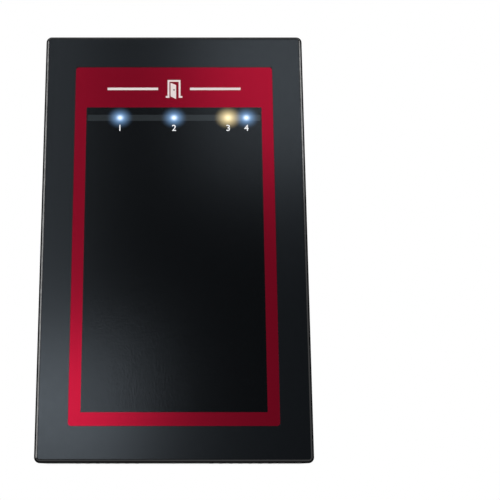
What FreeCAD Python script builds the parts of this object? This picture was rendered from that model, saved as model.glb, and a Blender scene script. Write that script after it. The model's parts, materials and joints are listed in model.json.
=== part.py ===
import FreeCAD, Part

import math
import os
import re

import Sketcher

# Door controller: a wall box whose front cover swings up on two pins at its top edge.
# Sizes are in millimetres. +X is to the right, +Z is up and the wall is the plane y = 0.
# A depth is a distance from the wall towards the room, so it runs along -Y.
SIZES = {
    # Front cover
    "case_width": 140.0,
    "case_height": 228.5,
    "case_depth": 44.0,
    "corner_radius": 3.0,
    "edge_radius": 2.0,
    "side_wall": 2.5,
    "face_wall": 3.0,
    "inner_corner": 1.0,
    "rear_reveal": 8.0,
    # Films on the face: a red border with a header band round a black centre
    "border_side_margin": 16.75,
    "border_end_margin": 18.25,
    "border_side": 6.15,
    "border_foot": 6.8,
    "header_band": 23.0,
    "border_corner": 1.6,
    "film_thickness": 0.5,
    "film_gap": 0.1,
    # Light strip and the guide behind it
    "strip_drop": 5.9,
    "strip_height": 3.5,
    "strip_inset": 0.6,
    "flange_overhang": 3.0,
    "flange_thickness": 1.5,
    "light_pitch": 29.05,
    "light_pair": 9.8,
    "leg_radius": 1.6,
    "leg_gap": 0.6,
    "stake_radius": 1.1,
    "stake_play": 0.1,
    "stake_head": 1.0,
    # Cooling slots in the top and bottom walls of the cover
    "slot_width": 2.0,
    "slot_length": 12.0,
    "slot_pitch": 5.0,
    "slot_count": 7.0,
    "slot_start": 23.0,
    "slot_offset": 18.0,
    # Base tray
    "cover_clearance": 0.6,
    "foot_clearance": 0.9,
    "base_floor": 3.0,
    "rim_wall": 2.2,
    "rim_height": 20.0,
    "base_corner": 2.4,
    "stop_gap": 0.2,
    "stop_length": 8.0,
    "stop_width": 3.2,
    "stop_place": 82.0,
    # Hinge
    "hinge_drop": 5.75,
    "hinge_relief": 0.3,
    "knuckle_radius": 2.9,
    "knuckle_width": 5.0,
    "lug_width": 6.0,
    "hinge_gap": 0.3,
    "hinge_place": 48.0,
    "pin_radius": 1.25,
    "pin_clearance": 0.05,
    # Cover screw and its clamp nut
    "screw_depth": 14.0,
    "screw_radius": 1.5,
    "screw_play": 0.3,
    "screw_head_radius": 2.8,
    "screw_head_height": 1.2,
    "screw_sink": 0.1,
    "screw_seat_gap": 0.05,
    "screw_length": 11.0,
    "recess_radius": 1.0,
    "recess_depth": 0.8,
    "nut_width": 12.0,
    "nut_depth": 6.0,
    "nut_height": 2.5,
    "nut_gap": 0.3,
    "guide_rib": 1.2,
    # Holes for fixing to the wall
    "mount_inset_x": 16.0,
    "mount_inset_z": 14.25,
    "mount_hole_radius": 2.4,
    # Shallow fields in the tray's back, with flat ribs between them that lie on the wall
    "back_recess": 0.8,
    "back_margin": 8.0,
    "back_rib": 6.0,
    # Cable opening and its grommet
    "cable_width": 72.0,
    "cable_height": 20.0,
    "cable_edge": 6.2,
    "cable_corner": 3.0,
    "grommet_wall": 1.2,
    "grommet_lip": 2.0,
    # Main board
    "standoff_height": 8.0,
    "standoff_radius": 3.5,
    "pilot_depth": 7.0,
    "board_thickness": 1.6,
    "gutter": 8.1,
    "board_top_gap": 12.0,
    "wiring_bay": 28.65,
    "fixing_inset": 6.0,
    "board_screw_radius": 1.3,
    "board_screw_play": 0.35,
    "board_screw_head": 2.75,
    "board_screw_head_height": 2.0,
    "board_screw_length": 7.5,
    # Terminal headers and their plugs
    "pole_pitch": 5.08,
    "reader_pole_count": 7.0,
    "lock_pole_count": 6.0,
    "power_pole_count": 2.0,
    "block_end": 0.5,
    "block_edge": 1.0,
    "block_gap": 8.0,
    "header_width": 11.0,
    "header_floor": 2.0,
    "header_wall": 1.2,
    "header_height": 8.4,
    "plug_clearance": 0.2,
    "plug_height": 15.6,
    "wire_hole_radius": 1.6,
    "wire_hole_depth": 6.0,
    "wire_hole_height": 11.2,
    "clamp_hole_radius": 2.0,
    "clamp_hole_depth": 2.4,
    "clamp_screw_radius": 1.8,
    "clamp_screw_height": 1.6,
    "clamp_slot_width": 0.6,
    "clamp_slot_depth": 0.7,
    "plug_chamfer": 0.6,
    "contact_width": 1.0,
    "contact_length": 5.6,
    "contact_point": 0.25,
    "contact_gap": 0.3,
    # Where the rows of components lie, counted down from the light strip
    "reader_drop": 30.0,
    "power_place": 32.0,
    # Network jack
    "jack_inset": 24.6,
    "jack_width": 16.0,
    "jack_height": 13.5,
    "jack_length": 21.5,
    "jack_overhang": 2.0,
    "socket_width": 11.8,
    "socket_height": 8.2,
    "socket_floor": 1.8,
    "socket_depth": 15.0,
    # Lock relays and their selectors
    "relay_width": 15.5,
    "relay_length": 19.0,
    "relay_height": 15.5,
    "relay_gap": 3.0,
    "relay_edge": 0.8,
    "selector_gap": 4.0,
    "selector_width": 4.4,
    "selector_length": 8.6,
    "selector_height": 3.6,
    "selector_slot_width": 1.8,
    "selector_slot_length": 5.0,
    "selector_slot_depth": 1.8,
    "slider_clearance": 0.2,
    "slider_length": 2.4,
    "slider_height": 3.0,
    # Power supply
    "core_width": 20.0,
    "core_length": 18.0,
    "core_height": 12.0,
    "core_leg": 3.5,
    "core_top": 3.0,
    "winding_gap": 0.2,
    "winding_bulge": 1.0,
    "inductor_place": 17.0,
    "inductor_radius": 5.5,
    "inductor_height": 6.0,
    "inductor_pitch": 12.0,
    "inductor_rise": 26.0,
    "capacitor_radius": 5.0,
    "capacitor_height": 20.0,
    "capacitor_place": 18.0,
    "capacitor_pitch": 12.0,
    "capacitor_rise": 24.0,
    "capacitor_edge": 0.7,
    "varistor_radius": 4.5,
    "varistor_thickness": 3.5,
    "varistor_place": 21.5,
    "varistor_pitch": 6.0,
    "varistor_rise": 8.0,
    "fuse_radius": 3.5,
    "fuse_thickness": 3.0,
    "fuse_gap": 4.0,
    "regulator_width": 10.0,
    "regulator_height": 2.0,
    "pad_thickness": 0.5,
    "sink_width": 20.0,
    "sink_length": 18.0,
    "sink_base": 3.0,
    "sink_height": 12.0,
    "sink_rise": 14.0,
    "fin_thickness": 1.2,
    "fin_pitch": 3.76,
    "fin_count": 6.0,
    "row_gap": 4.0,
    # Processor, wireless module and chips
    "processor_width": 36.0,
    "processor_length": 30.0,
    "processor_thickness": 1.2,
    "shield_wall": 0.5,
    "shield_play": 1.0,
    "shield_height": 3.4,
    "shield_edge": 0.5,
    "wireless_place": 24.0,
    "wireless_width": 25.5,
    "wireless_length": 18.0,
    "wireless_height": 0.8,
    "wireless_inset": 3.0,
    "can_width": 16.0,
    "can_length": 15.6,
    "can_height": 2.4,
    "chip_width": 6.0,
    "chip_length": 5.0,
    "chip_height": 1.6,
    "chip_pitch": 12.0,
    # Battery
    "cell_radius": 10.0,
    "cell_thickness": 3.2,
    "cell_clearance": 0.15,
    "holder_wall": 1.4,
    "holder_floor": 1.1,
    "holder_height": 4.0,
    "clip_width": 5.0,
    "clip_thickness": 0.4,
    "clip_gap": 0.05,
    # Indicator lights and switches
    "lamp_width": 3.5,
    "lamp_length": 2.8,
    "lamp_height": 1.2,
    "reset_place": 9.0,
    "reset_rise": 30.0,
    "reset_width": 6.2,
    "reset_height": 4.0,
    "button_radius": 1.7,
    "button_clearance": 0.1,
    "button_seat": 1.5,
    "button_travel": 0.5,
    "button_proud": 1.5,
    "tamper_place": 26.0,
    "tamper_inset": 10.0,
    "tamper_width": 12.8,
    "tamper_length": 5.8,
    "tamper_height": 6.5,
    "plunger_radius": 1.2,
    "plunger_clearance": 0.1,
    "plunger_seat": 3.0,
    "plunger_proud": 1.0,
    "plunger_gap": 0.2,
    "post_radius": 2.0,
}

# Places worked out from the sizes, written as formulas
HALF_HEIGHT = "(case_height / 2)"
FACE_INNER = "(case_depth - face_wall)"
FILM_SEAT = "(case_depth - film_thickness)"
INNER_HALF_WIDTH = "(case_width / 2 - side_wall)"
INNER_HALF_HEIGHT = "(case_height / 2 - side_wall)"
BORDER_HALF_WIDTH = "(case_width / 2 - border_side_margin)"
BORDER_HALF_HEIGHT = "(case_height / 2 - border_end_margin)"
WINDOW_HALF_WIDTH = f"({BORDER_HALF_WIDTH} - border_side)"
WINDOW_TOP = f"({BORDER_HALF_HEIGHT} - header_band)"
WINDOW_BOTTOM = f"(border_foot - {BORDER_HALF_HEIGHT})"
STRIP_Z = f"({WINDOW_TOP} - strip_drop)"
STRIP_HALF_WIDTH = f"({WINDOW_HALF_WIDTH} - strip_inset)"
FLANGE_DEPTH = f"({FACE_INNER} - flange_thickness)"
STAKE_X = f"({STRIP_HALF_WIDTH} + flange_overhang)"
FLANGE_HALF_WIDTH = f"({STAKE_X} + flange_overhang)"
BASE_HALF_WIDTH = f"({INNER_HALF_WIDTH} - cover_clearance)"
HINGE_Z = f"({HALF_HEIGHT} - hinge_drop)"
BASE_TOP = f"({HINGE_Z} - hinge_relief)"
BASE_BOTTOM = f"(side_wall + foot_clearance - {HALF_HEIGHT})"
RIM_INNER_X = f"({BASE_HALF_WIDTH} - rim_wall)"
RIM_INNER_TOP = f"({BASE_TOP} - rim_wall)"
RIM_INNER_BOTTOM = f"({BASE_BOTTOM} + rim_wall)"
BOARD_SEAT = "(base_floor + standoff_height)"
BOARD_FRONT = f"({BOARD_SEAT} + board_thickness)"
BOARD_HALF_WIDTH = f"({RIM_INNER_X} - gutter)"
BOARD_TOP = f"({RIM_INNER_TOP} - board_top_gap)"
BOARD_BOTTOM = f"({RIM_INNER_BOTTOM} + wiring_bay)"
FIXING_X = f"({BOARD_HALF_WIDTH} - fixing_inset)"
READER_LENGTH = "(reader_pole_count * pole_pitch + 2 * block_end)"
LOCK_LENGTH = "(lock_pole_count * pole_pitch + 2 * block_end)"
POWER_LENGTH = "(power_pole_count * pole_pitch + 2 * block_end)"
READER_Z = f"({STRIP_Z} - reader_drop)"
FIXING_MID_Z = f"({READER_Z} - {READER_LENGTH} / 2 - block_gap / 2)"
LOCK_Z = f"({FIXING_MID_Z} - block_gap / 2 - {LOCK_LENGTH} / 2)"
BLOCK_X = f"({BOARD_HALF_WIDTH} - block_edge - header_width / 2)"
POWER_Z = f"({BOARD_BOTTOM} + block_edge + header_width / 2)"
JACK_X = f"({BOARD_HALF_WIDTH} - jack_inset)"
RELAY_X = f"({BLOCK_X} - header_width / 2 - relay_gap - relay_width / 2)"
SELECTOR_Z = f"({LOCK_Z} - relay_length / 2 - selector_gap - selector_length / 2)"
FUSE_Z = f"({LOCK_Z} + relay_length / 2 + fuse_gap + fuse_thickness / 2)"
SHIELD_LENGTH = "(processor_length + 2 * (shield_play + shield_wall))"
SHIELD_WIDTH = "(processor_width + 2 * (shield_play + shield_wall))"
HOLDER_RADIUS = "(cell_radius + cell_clearance + holder_wall)"
BATTERY_Z = f"({READER_Z} - {SHIELD_LENGTH} / 2 - row_gap - {HOLDER_RADIUS})"
SINK_Z = f"({BOARD_BOTTOM} + sink_rise)"
CORE_Z = f"({SINK_Z} + sink_length / 2 + row_gap + core_length / 2)"
TAMPER_Z = f"({BOARD_TOP} - tamper_inset)"
PLUNGER_TOP = f"({BOARD_FRONT} + tamper_height + plunger_proud)"
RESET_X = f"({BOARD_HALF_WIDTH} - reset_place)"
RESET_Z = f"({BOARD_BOTTOM} + reset_rise)"
CABLE_BOTTOM = f"({RIM_INNER_BOTTOM} + cable_edge)"
CABLE_TOP = f"({CABLE_BOTTOM} + cable_height)"
MOUNT_X = "(case_width / 2 - mount_inset_x)"
MOUNT_Z = f"({HALF_HEIGHT} - mount_inset_z)"
BACK_BOTTOM = f"({CABLE_TOP} + back_margin)"
BACK_PITCH = f"(({MOUNT_Z} - back_margin - {BACK_BOTTOM} + back_rib) / 3)"

ALIAS = re.compile(r"[a-z][a-z_]*[a-z]")
START_RADIUS = 10.0

doc = FreeCAD.newDocument("door_controller")
sub_parts = []


def formula(text):
    """Turns each size name in a formula into a reference to the sheet's cell."""
    return ALIAS.sub(lambda word: f"Sizes.{word.group()}" if word.group() in SIZES else word.group(), text)


def bind(item, prop, text):
    item.setExpression(prop, formula(text))


def fill_sheet():
    sheet = doc.addObject("Spreadsheet::Sheet", "Sizes")
    for row, (alias, size) in enumerate(SIZES.items(), start=1):
        sheet.set(f"A{row}", alias)
        sheet.set(f"B{row}", str(size))
        sheet.setAlias(f"B{row}", alias)
    doc.recompute()


def keep(item, label):
    """Names an object as one sub-part of the controller."""
    item.Label = label
    sub_parts.append(item)
    return item


def new_body(label, kept=True):
    body = doc.addObject("PartDesign::Body", label)
    if kept:
        keep(body, label)
    return body


def origin_item(body, role):
    return next(item for item in body.Origin.OriginFeatures if item.Role == role)


def new_sketch(body, name, offset="0", role="XZ_Plane"):
    """A sketch on an origin plane, moved along that plane's normal by the offset."""
    sketch = body.newObject("Sketcher::SketchObject", name)
    sketch.AttachmentSupport = [(origin_item(body, role), "")]
    sketch.MapMode = "FlatFace"
    bind(sketch, "AttachmentOffset.Base.z", offset)
    return sketch


def pin_point(sketch, geometry, point, start, place):
    """Fixes one point of a sketch at a pair of formulas, counted from the sketch's origin."""
    for kind, begin, text in zip(("DistanceX", "DistanceY"), start, place):
        rule = sketch.addConstraint(Sketcher.Constraint(kind, -1, 1, geometry, point, begin))
        bind(sketch, f"Constraints[{rule}]", text)


def add_polygon(sketch, places):
    count = len(places)
    turns = [2 * math.pi * (index + 0.5) / count for index in range(count)]
    starts = [FreeCAD.Vector(START_RADIUS * math.cos(turn), START_RADIUS * math.sin(turn)) for turn in turns]
    ends = starts[1:] + starts[:1]
    lines = [sketch.addGeometry(Part.LineSegment(start, end)) for start, end in zip(starts, ends)]
    for index in range(count):
        after = lines[(index + 1) % count]
        sketch.addConstraint(Sketcher.Constraint("Coincident", lines[index], 2, after, 1))
        pin_point(sketch, lines[index], 1, starts[index], places[index])


def add_rectangle(sketch, left, right, bottom, top):
    add_polygon(sketch, [(left, bottom), (right, bottom), (right, top), (left, top)])


def add_centred(sketch, width, length, x="0", z="0"):
    add_rectangle(
        sketch, f"{x} - {width} / 2", f"{x} + {width} / 2", f"{z} - {length} / 2", f"{z} + {length} / 2"
    )


def add_circle(sketch, x, y, radius):
    centre = FreeCAD.Vector(1, 1, 0)
    circle = sketch.addGeometry(Part.Circle(centre, FreeCAD.Vector(0, 0, 1), 1.0))
    pin_point(sketch, circle, 3, centre, (x, y))
    rule = sketch.addConstraint(Sketcher.Constraint("Radius", circle, 1.0))
    bind(sketch, f"Constraints[{rule}]", radius)


def new_feature(body, kind, sketch, length, backwards):
    item = body.newObject(f"PartDesign::{kind}", f"{sketch.Name}_{kind.lower()}")
    item.Profile = sketch
    item.Reversed = backwards
    bind(item, "Length", length)
    body.Tip = item
    return item


def add_pad(body, sketch, length, backwards=False):
    return new_feature(body, "Pad", sketch, length, backwards)


def add_pocket(body, sketch, length, backwards=False):
    """Cuts against the sketch's normal, or along it when backwards is set."""
    return new_feature(body, "Pocket", sketch, length, backwards)


def add_mirrored(body, name, features):
    item = body.newObject("PartDesign::Mirrored", name)
    item.Originals = features
    item.MirrorPlane = (origin_item(body, "YZ_Plane"), [""])
    body.Tip = item
    return item


def add_row(body, name, features, role, pitch, count):
    """Repeats features along an origin axis of the body."""
    item = body.newObject("PartDesign::LinearPattern", name)
    item.Originals = features
    item.Direction = (origin_item(body, role), [""])
    item.Mode = "Spacing"
    bind(item, "Offset", pitch)
    bind(item, "Occurrences", count)
    body.Tip = item
    return item


def dress_edges(body, kind, name, wanted, size):
    """Rounds or bevels the edges of the body's tip that pass the test."""
    doc.recompute()
    base = body.Tip
    names = [f"Edge{number}" for number, edge in enumerate(base.Shape.Edges, start=1) if wanted(edge)]
    item = body.newObject(f"PartDesign::{kind}", name)
    item.Base = (base, names)
    bind(item, "Radius" if kind == "Fillet" else "Size", size)
    body.Tip = item
    return item


def lies_at(edge, axis, place):
    """True for an edge whose ends and middle all lie at one place along an axis, 0 to 2 for X to Z."""
    points = [vertex.Point for vertex in edge.Vertexes]
    points.append(edge.valueAt((edge.FirstParameter + edge.LastParameter) / 2))
    return all(abs(point[axis] - place) < 1e-6 for point in points)


def runs_along(edge, axis):
    if len(edge.Vertexes) != 2:
        return False
    first, last = (vertex.Point for vertex in edge.Vertexes)
    return all(abs(first[other] - last[other]) < 1e-6 for other in range(3) if other != axis)


def front_edges(body):
    """Test for the edges on the foremost face of a body."""
    doc.recompute()
    front = body.Tip.Shape.BoundBox.YMin
    return lambda edge: lies_at(edge, 1, front)


def corner_edges(edge):
    return runs_along(edge, 1)


def upright_at(half_width):
    """Test for the edges square to the wall that stand at one distance from the middle."""
    return lambda edge: runs_along(edge, 1) and abs(abs(edge.Vertexes[0].X) - half_width) < 1e-6


def place(item, x, y, z):
    for prop, text in zip("xyz", (x, y, z)):
        bind(item, f"Placement.Base.{prop}", text)
    return item


def stand_on_board(item, x, z, turn=0, depth=BOARD_FRONT):
    """Puts an object made at the origin on the board, turned about the wall's normal."""
    item.Placement.Rotation = FreeCAD.Rotation(FreeCAD.Vector(0, -1, 0), turn)
    return place(item, x, f"-{depth}", z)


def copies(label, master, places, turns=None):
    """One sub-part made of alike solids, each a copy of a master at its own place."""
    links = []
    for number, (x, y, z) in enumerate(places):
        link = doc.addObject("App::Link", f"{label}_{number + 1}")
        link.LinkedObject = master
        link.LinkTransform = False
        if turns:
            link.Placement.Rotation = FreeCAD.Rotation(FreeCAD.Vector(0, -1, 0), turns[number])
        links.append(place(link, x, y, z))
    item = doc.addObject("Part::Compound", label)
    item.Links = links
    return keep(item, label)


def block(label, width, length, height, kept=True):
    """A body with one pad, centred on the origin and standing out towards the room."""
    body = new_body(label, kept)
    sketch = new_sketch(body, f"{label}_outline")
    add_centred(sketch, width, length)
    add_pad(body, sketch, height)
    return body


def disc(label, radius, height, kept=True):
    body = new_body(label, kept)
    sketch = new_sketch(body, f"{label}_outline")
    add_circle(sketch, "0", "0", radius)
    add_pad(body, sketch, height)
    return body


def both_sides(text):
    return (f"-{text}", text)


def add_front_cover():
    body = new_body("front_cover")
    outline = new_sketch(body, "cover_outline", "rear_reveal")
    add_centred(outline, "case_width", "case_height")
    add_pad(body, outline, "case_depth - rear_reveal")
    dress_edges(body, "Fillet", "cover_corners", corner_edges, "corner_radius")
    dress_edges(body, "Fillet", "cover_face_edge", front_edges(body), "edge_radius")
    inside = new_sketch(body, "cover_inside", FACE_INNER)
    add_centred(inside, f"(2 * {INNER_HALF_WIDTH})", f"(2 * {INNER_HALF_HEIGHT})")
    add_pocket(body, inside, f"{FACE_INNER} - rear_reveal")
    inner = upright_at(SIZES["case_width"] / 2 - SIZES["side_wall"])
    dress_edges(body, "Fillet", "cover_inner_corners", inner, "inner_corner")
    add_film_recess(body)
    add_cooling_slots(body)
    add_cover_hinge_lugs(body)
    add_cover_posts(body)
    add_cover_screw_hole(body)


def add_film_recess(body):
    recess = new_sketch(body, "film_recess", "case_depth")
    add_centred(
        recess, f"(2 * ({BORDER_HALF_WIDTH} + film_gap))", f"(2 * ({BORDER_HALF_HEIGHT} + film_gap))"
    )
    add_pocket(body, recess, "film_thickness", backwards=False)
    slot = new_sketch(body, "strip_slot", FILM_SEAT)
    add_centred(slot, f"(2 * ({STRIP_HALF_WIDTH} + film_gap))", "(strip_height + 2 * film_gap)", z=STRIP_Z)
    add_pocket(body, slot, "face_wall - film_thickness")


def add_cooling_slots(body):
    """Rows of slots beside the middle, through the top wall and the bottom wall."""
    for name, level in (("top", INNER_HALF_HEIGHT), ("bottom", f"-{HALF_HEIGHT}")):
        sketch = new_sketch(body, f"{name}_slot", level, role="XY_Plane")
        add_rectangle(
            sketch, "slot_offset", "slot_offset + slot_width", "-slot_start - slot_length", "-slot_start"
        )
        first = add_pocket(body, sketch, "side_wall", backwards=True)
        row = add_row(body, f"{name}_slot_row", [first], "X_Axis", "slot_pitch", "slot_count")
        mirrored = new_sketch(body, f"{name}_left_slot", level, role="XY_Plane")
        add_rectangle(
            mirrored, "-slot_offset - slot_width", "-slot_offset", "-slot_start - slot_length", "-slot_start"
        )
        first = add_pocket(body, mirrored, "side_wall", backwards=True)
        row = add_row(body, f"{name}_left_slot_row", [first], "X_Axis", "slot_pitch", "slot_count")
        row.Reversed = True


def add_cover_hinge_lugs(body):
    """A lug on each side, hanging from the top wall round its hinge pin."""
    side = "hinge_place - lug_width / 2"
    arm = new_sketch(body, "lug_arm", side, role="YZ_Plane")
    add_rectangle(arm, "-rear_reveal - knuckle_radius", "-rear_reveal", HINGE_Z, INNER_HALF_HEIGHT)
    eye = new_sketch(body, "lug_eye", side, role="YZ_Plane")
    add_circle(eye, "-rear_reveal", HINGE_Z, "knuckle_radius")
    bore = new_sketch(body, "lug_bore", side, role="YZ_Plane")
    add_circle(bore, "-rear_reveal", HINGE_Z, "pin_radius + pin_clearance")
    features = [
        add_pad(body, arm, "lug_width"),
        add_pad(body, eye, "lug_width"),
        add_pocket(body, bore, "lug_width", backwards=True),
    ]
    add_mirrored(body, "left_lug", features)


def add_cover_posts(body):
    """Stops that rest on the tray's rim, the tamper post and the stakes of the light guide."""
    stops = new_sketch(body, "stops", FACE_INNER)
    inner = f"({INNER_HALF_WIDTH} - stop_width)"
    for left, right in ((inner, INNER_HALF_WIDTH), (f"-{INNER_HALF_WIDTH}", f"-{inner}")):
        for middle in both_sides("stop_place"):
            add_rectangle(
                stops, left, right, f"{middle} - stop_length / 2", f"{middle} + stop_length / 2"
            )
    add_pad(body, stops, f"{FACE_INNER} - rim_height - stop_gap", backwards=True)
    tamper = new_sketch(body, "tamper_post", FACE_INNER)
    add_circle(tamper, "tamper_place", TAMPER_Z, "post_radius")
    add_pad(body, tamper, f"{FACE_INNER} - {PLUNGER_TOP} - plunger_gap", backwards=True)
    stakes = new_sketch(body, "light_stakes", FACE_INNER)
    for side in both_sides(STAKE_X):
        add_circle(stakes, side, STRIP_Z, "stake_radius")
    add_pad(body, stakes, "flange_thickness + stake_head", backwards=True)


def add_cover_screw_hole(body):
    hole = new_sketch(body, "screw_hole", f"-{HALF_HEIGHT}", role="XY_Plane")
    add_circle(hole, "0", "-screw_depth", "screw_radius + screw_play")
    add_pocket(body, hole, "side_wall", backwards=True)
    counterbore = new_sketch(body, "screw_counterbore", f"-{HALF_HEIGHT}", role="XY_Plane")
    add_circle(counterbore, "0", "-screw_depth", "screw_head_radius + screw_play")
    add_pocket(body, counterbore, "screw_head_height + screw_sink + screw_seat_gap", backwards=True)


def add_border_film():
    body = new_body("border_film")
    outline = new_sketch(body, "border_outline", FILM_SEAT)
    add_centred(outline, f"(2 * {BORDER_HALF_WIDTH})", f"(2 * {BORDER_HALF_HEIGHT})")
    add_pad(body, outline, "film_thickness")
    dress_edges(body, "Fillet", "border_corners", corner_edges, "border_corner")
    window = new_sketch(body, "border_window", "case_depth")
    add_rectangle(window, *both_sides(WINDOW_HALF_WIDTH), WINDOW_BOTTOM, WINDOW_TOP)
    add_pocket(body, window, "film_thickness")


def add_centre_film():
    body = new_body("centre_film")
    outline = new_sketch(body, "centre_outline", FILM_SEAT)
    add_rectangle(outline, *both_sides(WINDOW_HALF_WIDTH), WINDOW_BOTTOM, WINDOW_TOP)
    add_pad(body, outline, "film_thickness")
    slot = new_sketch(body, "film_slot", "case_depth")
    add_centred(slot, f"(2 * ({STRIP_HALF_WIDTH} + film_gap))", "(strip_height + 2 * film_gap)", z=STRIP_Z)
    add_pocket(body, slot, "film_thickness")


def light_places():
    """Where the four indicator lights shine through the strip, from left to right."""
    return ("-light_pitch", "0", "light_pitch", "(light_pitch + light_pair)")


def add_light_guide():
    body = new_body("light_guide")
    flange = new_sketch(body, "guide_flange", FLANGE_DEPTH)
    add_centred(
        flange, f"(2 * {FLANGE_HALF_WIDTH})", "(strip_height + 2 * flange_overhang)", z=STRIP_Z
    )
    add_pad(body, flange, "flange_thickness")
    bar = new_sketch(body, "guide_bar", FACE_INNER)
    add_centred(bar, f"(2 * {STRIP_HALF_WIDTH})", "strip_height", z=STRIP_Z)
    add_pad(body, bar, "face_wall")
    legs = new_sketch(body, "guide_legs", FLANGE_DEPTH)
    for x in light_places():
        add_circle(legs, x, STRIP_Z, "leg_radius")
    add_pad(body, legs, f"{FLANGE_DEPTH} - {BOARD_FRONT} - lamp_height - leg_gap", backwards=True)
    holes = new_sketch(body, "guide_holes", FACE_INNER)
    for side in both_sides(STAKE_X):
        add_circle(holes, side, STRIP_Z, "stake_radius + stake_play")
    add_pocket(body, holes, "flange_thickness")


def add_cover_screw():
    """Captive screw, made with its head down and its axis upwards."""
    body = new_body("cover_screw")
    head = new_sketch(body, "screw_head", f"screw_sink - {HALF_HEIGHT}", role="XY_Plane")
    add_circle(head, "0", "-screw_depth", "screw_head_radius")
    add_pad(body, head, "screw_head_height")
    neck = f"screw_sink + screw_head_height - {HALF_HEIGHT}"
    shank = new_sketch(body, "screw_shank", neck, role="XY_Plane")
    add_circle(shank, "0", "-screw_depth", "screw_radius")
    add_pad(body, shank, "screw_length")
    recess = new_sketch(body, "screw_recess", f"screw_sink - {HALF_HEIGHT}", role="XY_Plane")
    sixth = [math.radians(60 * index) for index in range(6)]
    add_polygon(
        recess,
        [
            (f"recess_radius * {math.cos(turn):.6f}", f"recess_radius * {math.sin(turn):.6f} - screw_depth")
            for turn in sixth
        ],
    )
    add_pocket(body, recess, "recess_depth", backwards=True)


def add_clamp_nut():
    body = new_body("clamp_nut")
    level = f"{RIM_INNER_BOTTOM} + nut_gap"
    plate = new_sketch(body, "nut_plate", level, role="XY_Plane")
    add_centred(plate, "nut_width", "nut_depth", z="-screw_depth")
    add_pad(body, plate, "nut_height")
    bore = new_sketch(body, "nut_bore", level, role="XY_Plane")
    add_circle(bore, "0", "-screw_depth", "screw_radius + pin_clearance")
    add_pocket(body, bore, "nut_height", backwards=True)


def add_base_tray():
    body = new_body("base_tray")
    outline = new_sketch(body, "tray_outline")
    add_rectangle(outline, *both_sides(BASE_HALF_WIDTH), BASE_BOTTOM, BASE_TOP)
    add_pad(body, outline, "rim_height")
    dress_edges(body, "Fillet", "tray_corners", corner_edges, "base_corner")
    inside = new_sketch(body, "tray_inside", "rim_height")
    add_rectangle(inside, *both_sides(RIM_INNER_X), RIM_INNER_BOTTOM, RIM_INNER_TOP)
    add_pocket(body, inside, "rim_height - base_floor")
    add_tray_standoffs(body)
    add_tray_openings(body)
    add_back_fields(body)
    add_tray_knuckles(body)
    add_nut_channel(body)


def fixing_places():
    """Centres of the six board screws as pairs of x and z."""
    levels = (f"({BOARD_TOP} - fixing_inset)", FIXING_MID_Z, f"({BOARD_BOTTOM} + fixing_inset)")
    return [(x, z) for z in levels for x in both_sides(FIXING_X)]


def add_tray_standoffs(body):
    posts = new_sketch(body, "standoffs", "base_floor")
    pilots = new_sketch(body, "standoff_pilots", BOARD_SEAT)
    for x, z in fixing_places():
        add_circle(posts, x, z, "standoff_radius")
        add_circle(pilots, x, z, "board_screw_radius")
    add_pad(body, posts, "standoff_height")
    add_pocket(body, pilots, "pilot_depth")


def add_tray_openings(body):
    """Four holes for the wall screws and the rounded opening for the cables."""
    holes = new_sketch(body, "wall_holes", "base_floor")
    for x in both_sides(MOUNT_X):
        for z in both_sides(MOUNT_Z):
            add_circle(holes, x, z, "mount_hole_radius")
    add_pocket(body, holes, "base_floor")
    opening = new_sketch(body, "cable_opening", "base_floor")
    add_rectangle(opening, *both_sides("cable_width / 2"), CABLE_BOTTOM, CABLE_TOP)
    add_pocket(body, opening, "base_floor")
    dress_edges(body, "Fillet", "opening_corners", upright_at(SIZES["cable_width"] / 2), "cable_corner")


def add_back_fields(body):
    """Three shallow fields on each side of the middle rib, so that only flat ribs lie on the wall."""
    fields = new_sketch(body, "back_fields")
    near = "back_rib / 2"
    far = f"({BASE_HALF_WIDTH} - back_margin)"
    for left, right in ((near, far), (f"-{far}", f"-{near}")):
        for row in range(3):
            bottom = f"{BACK_BOTTOM} + {row} * {BACK_PITCH}"
            add_rectangle(fields, left, right, bottom, f"{bottom} + {BACK_PITCH} - back_rib")
    add_pocket(body, fields, "back_recess", backwards=True)


def add_tray_knuckles(body):
    """Two knuckles beside each lug of the cover, and room for that lug to turn in the rim."""
    room = new_sketch(body, "lug_room", "hinge_place - lug_width / 2 - hinge_gap", role="YZ_Plane")
    add_circle(room, "-rear_reveal", HINGE_Z, "knuckle_radius + hinge_gap")
    features = [add_pocket(body, room, "lug_width + 2 * hinge_gap", backwards=True)]
    outer = "hinge_place + lug_width / 2 + hinge_gap"
    inner = "hinge_place - lug_width / 2 - hinge_gap - knuckle_width"
    for name, side in (("outer", outer), ("inner", inner)):
        foot = new_sketch(body, f"{name}_foot", side, role="YZ_Plane")
        add_rectangle(
            foot, "-rear_reveal - knuckle_radius", "knuckle_radius - rear_reveal", RIM_INNER_TOP, HINGE_Z
        )
        eye = new_sketch(body, f"{name}_eye", side, role="YZ_Plane")
        add_circle(eye, "-rear_reveal", HINGE_Z, "knuckle_radius")
        bore = new_sketch(body, f"{name}_bore", side, role="YZ_Plane")
        add_circle(bore, "-rear_reveal", HINGE_Z, "pin_radius")
        features.append(add_pad(body, foot, "knuckle_width"))
        features.append(add_pad(body, eye, "knuckle_width"))
        features.append(add_pocket(body, bore, "knuckle_width", backwards=True))
    add_mirrored(body, "left_knuckles", features)


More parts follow.
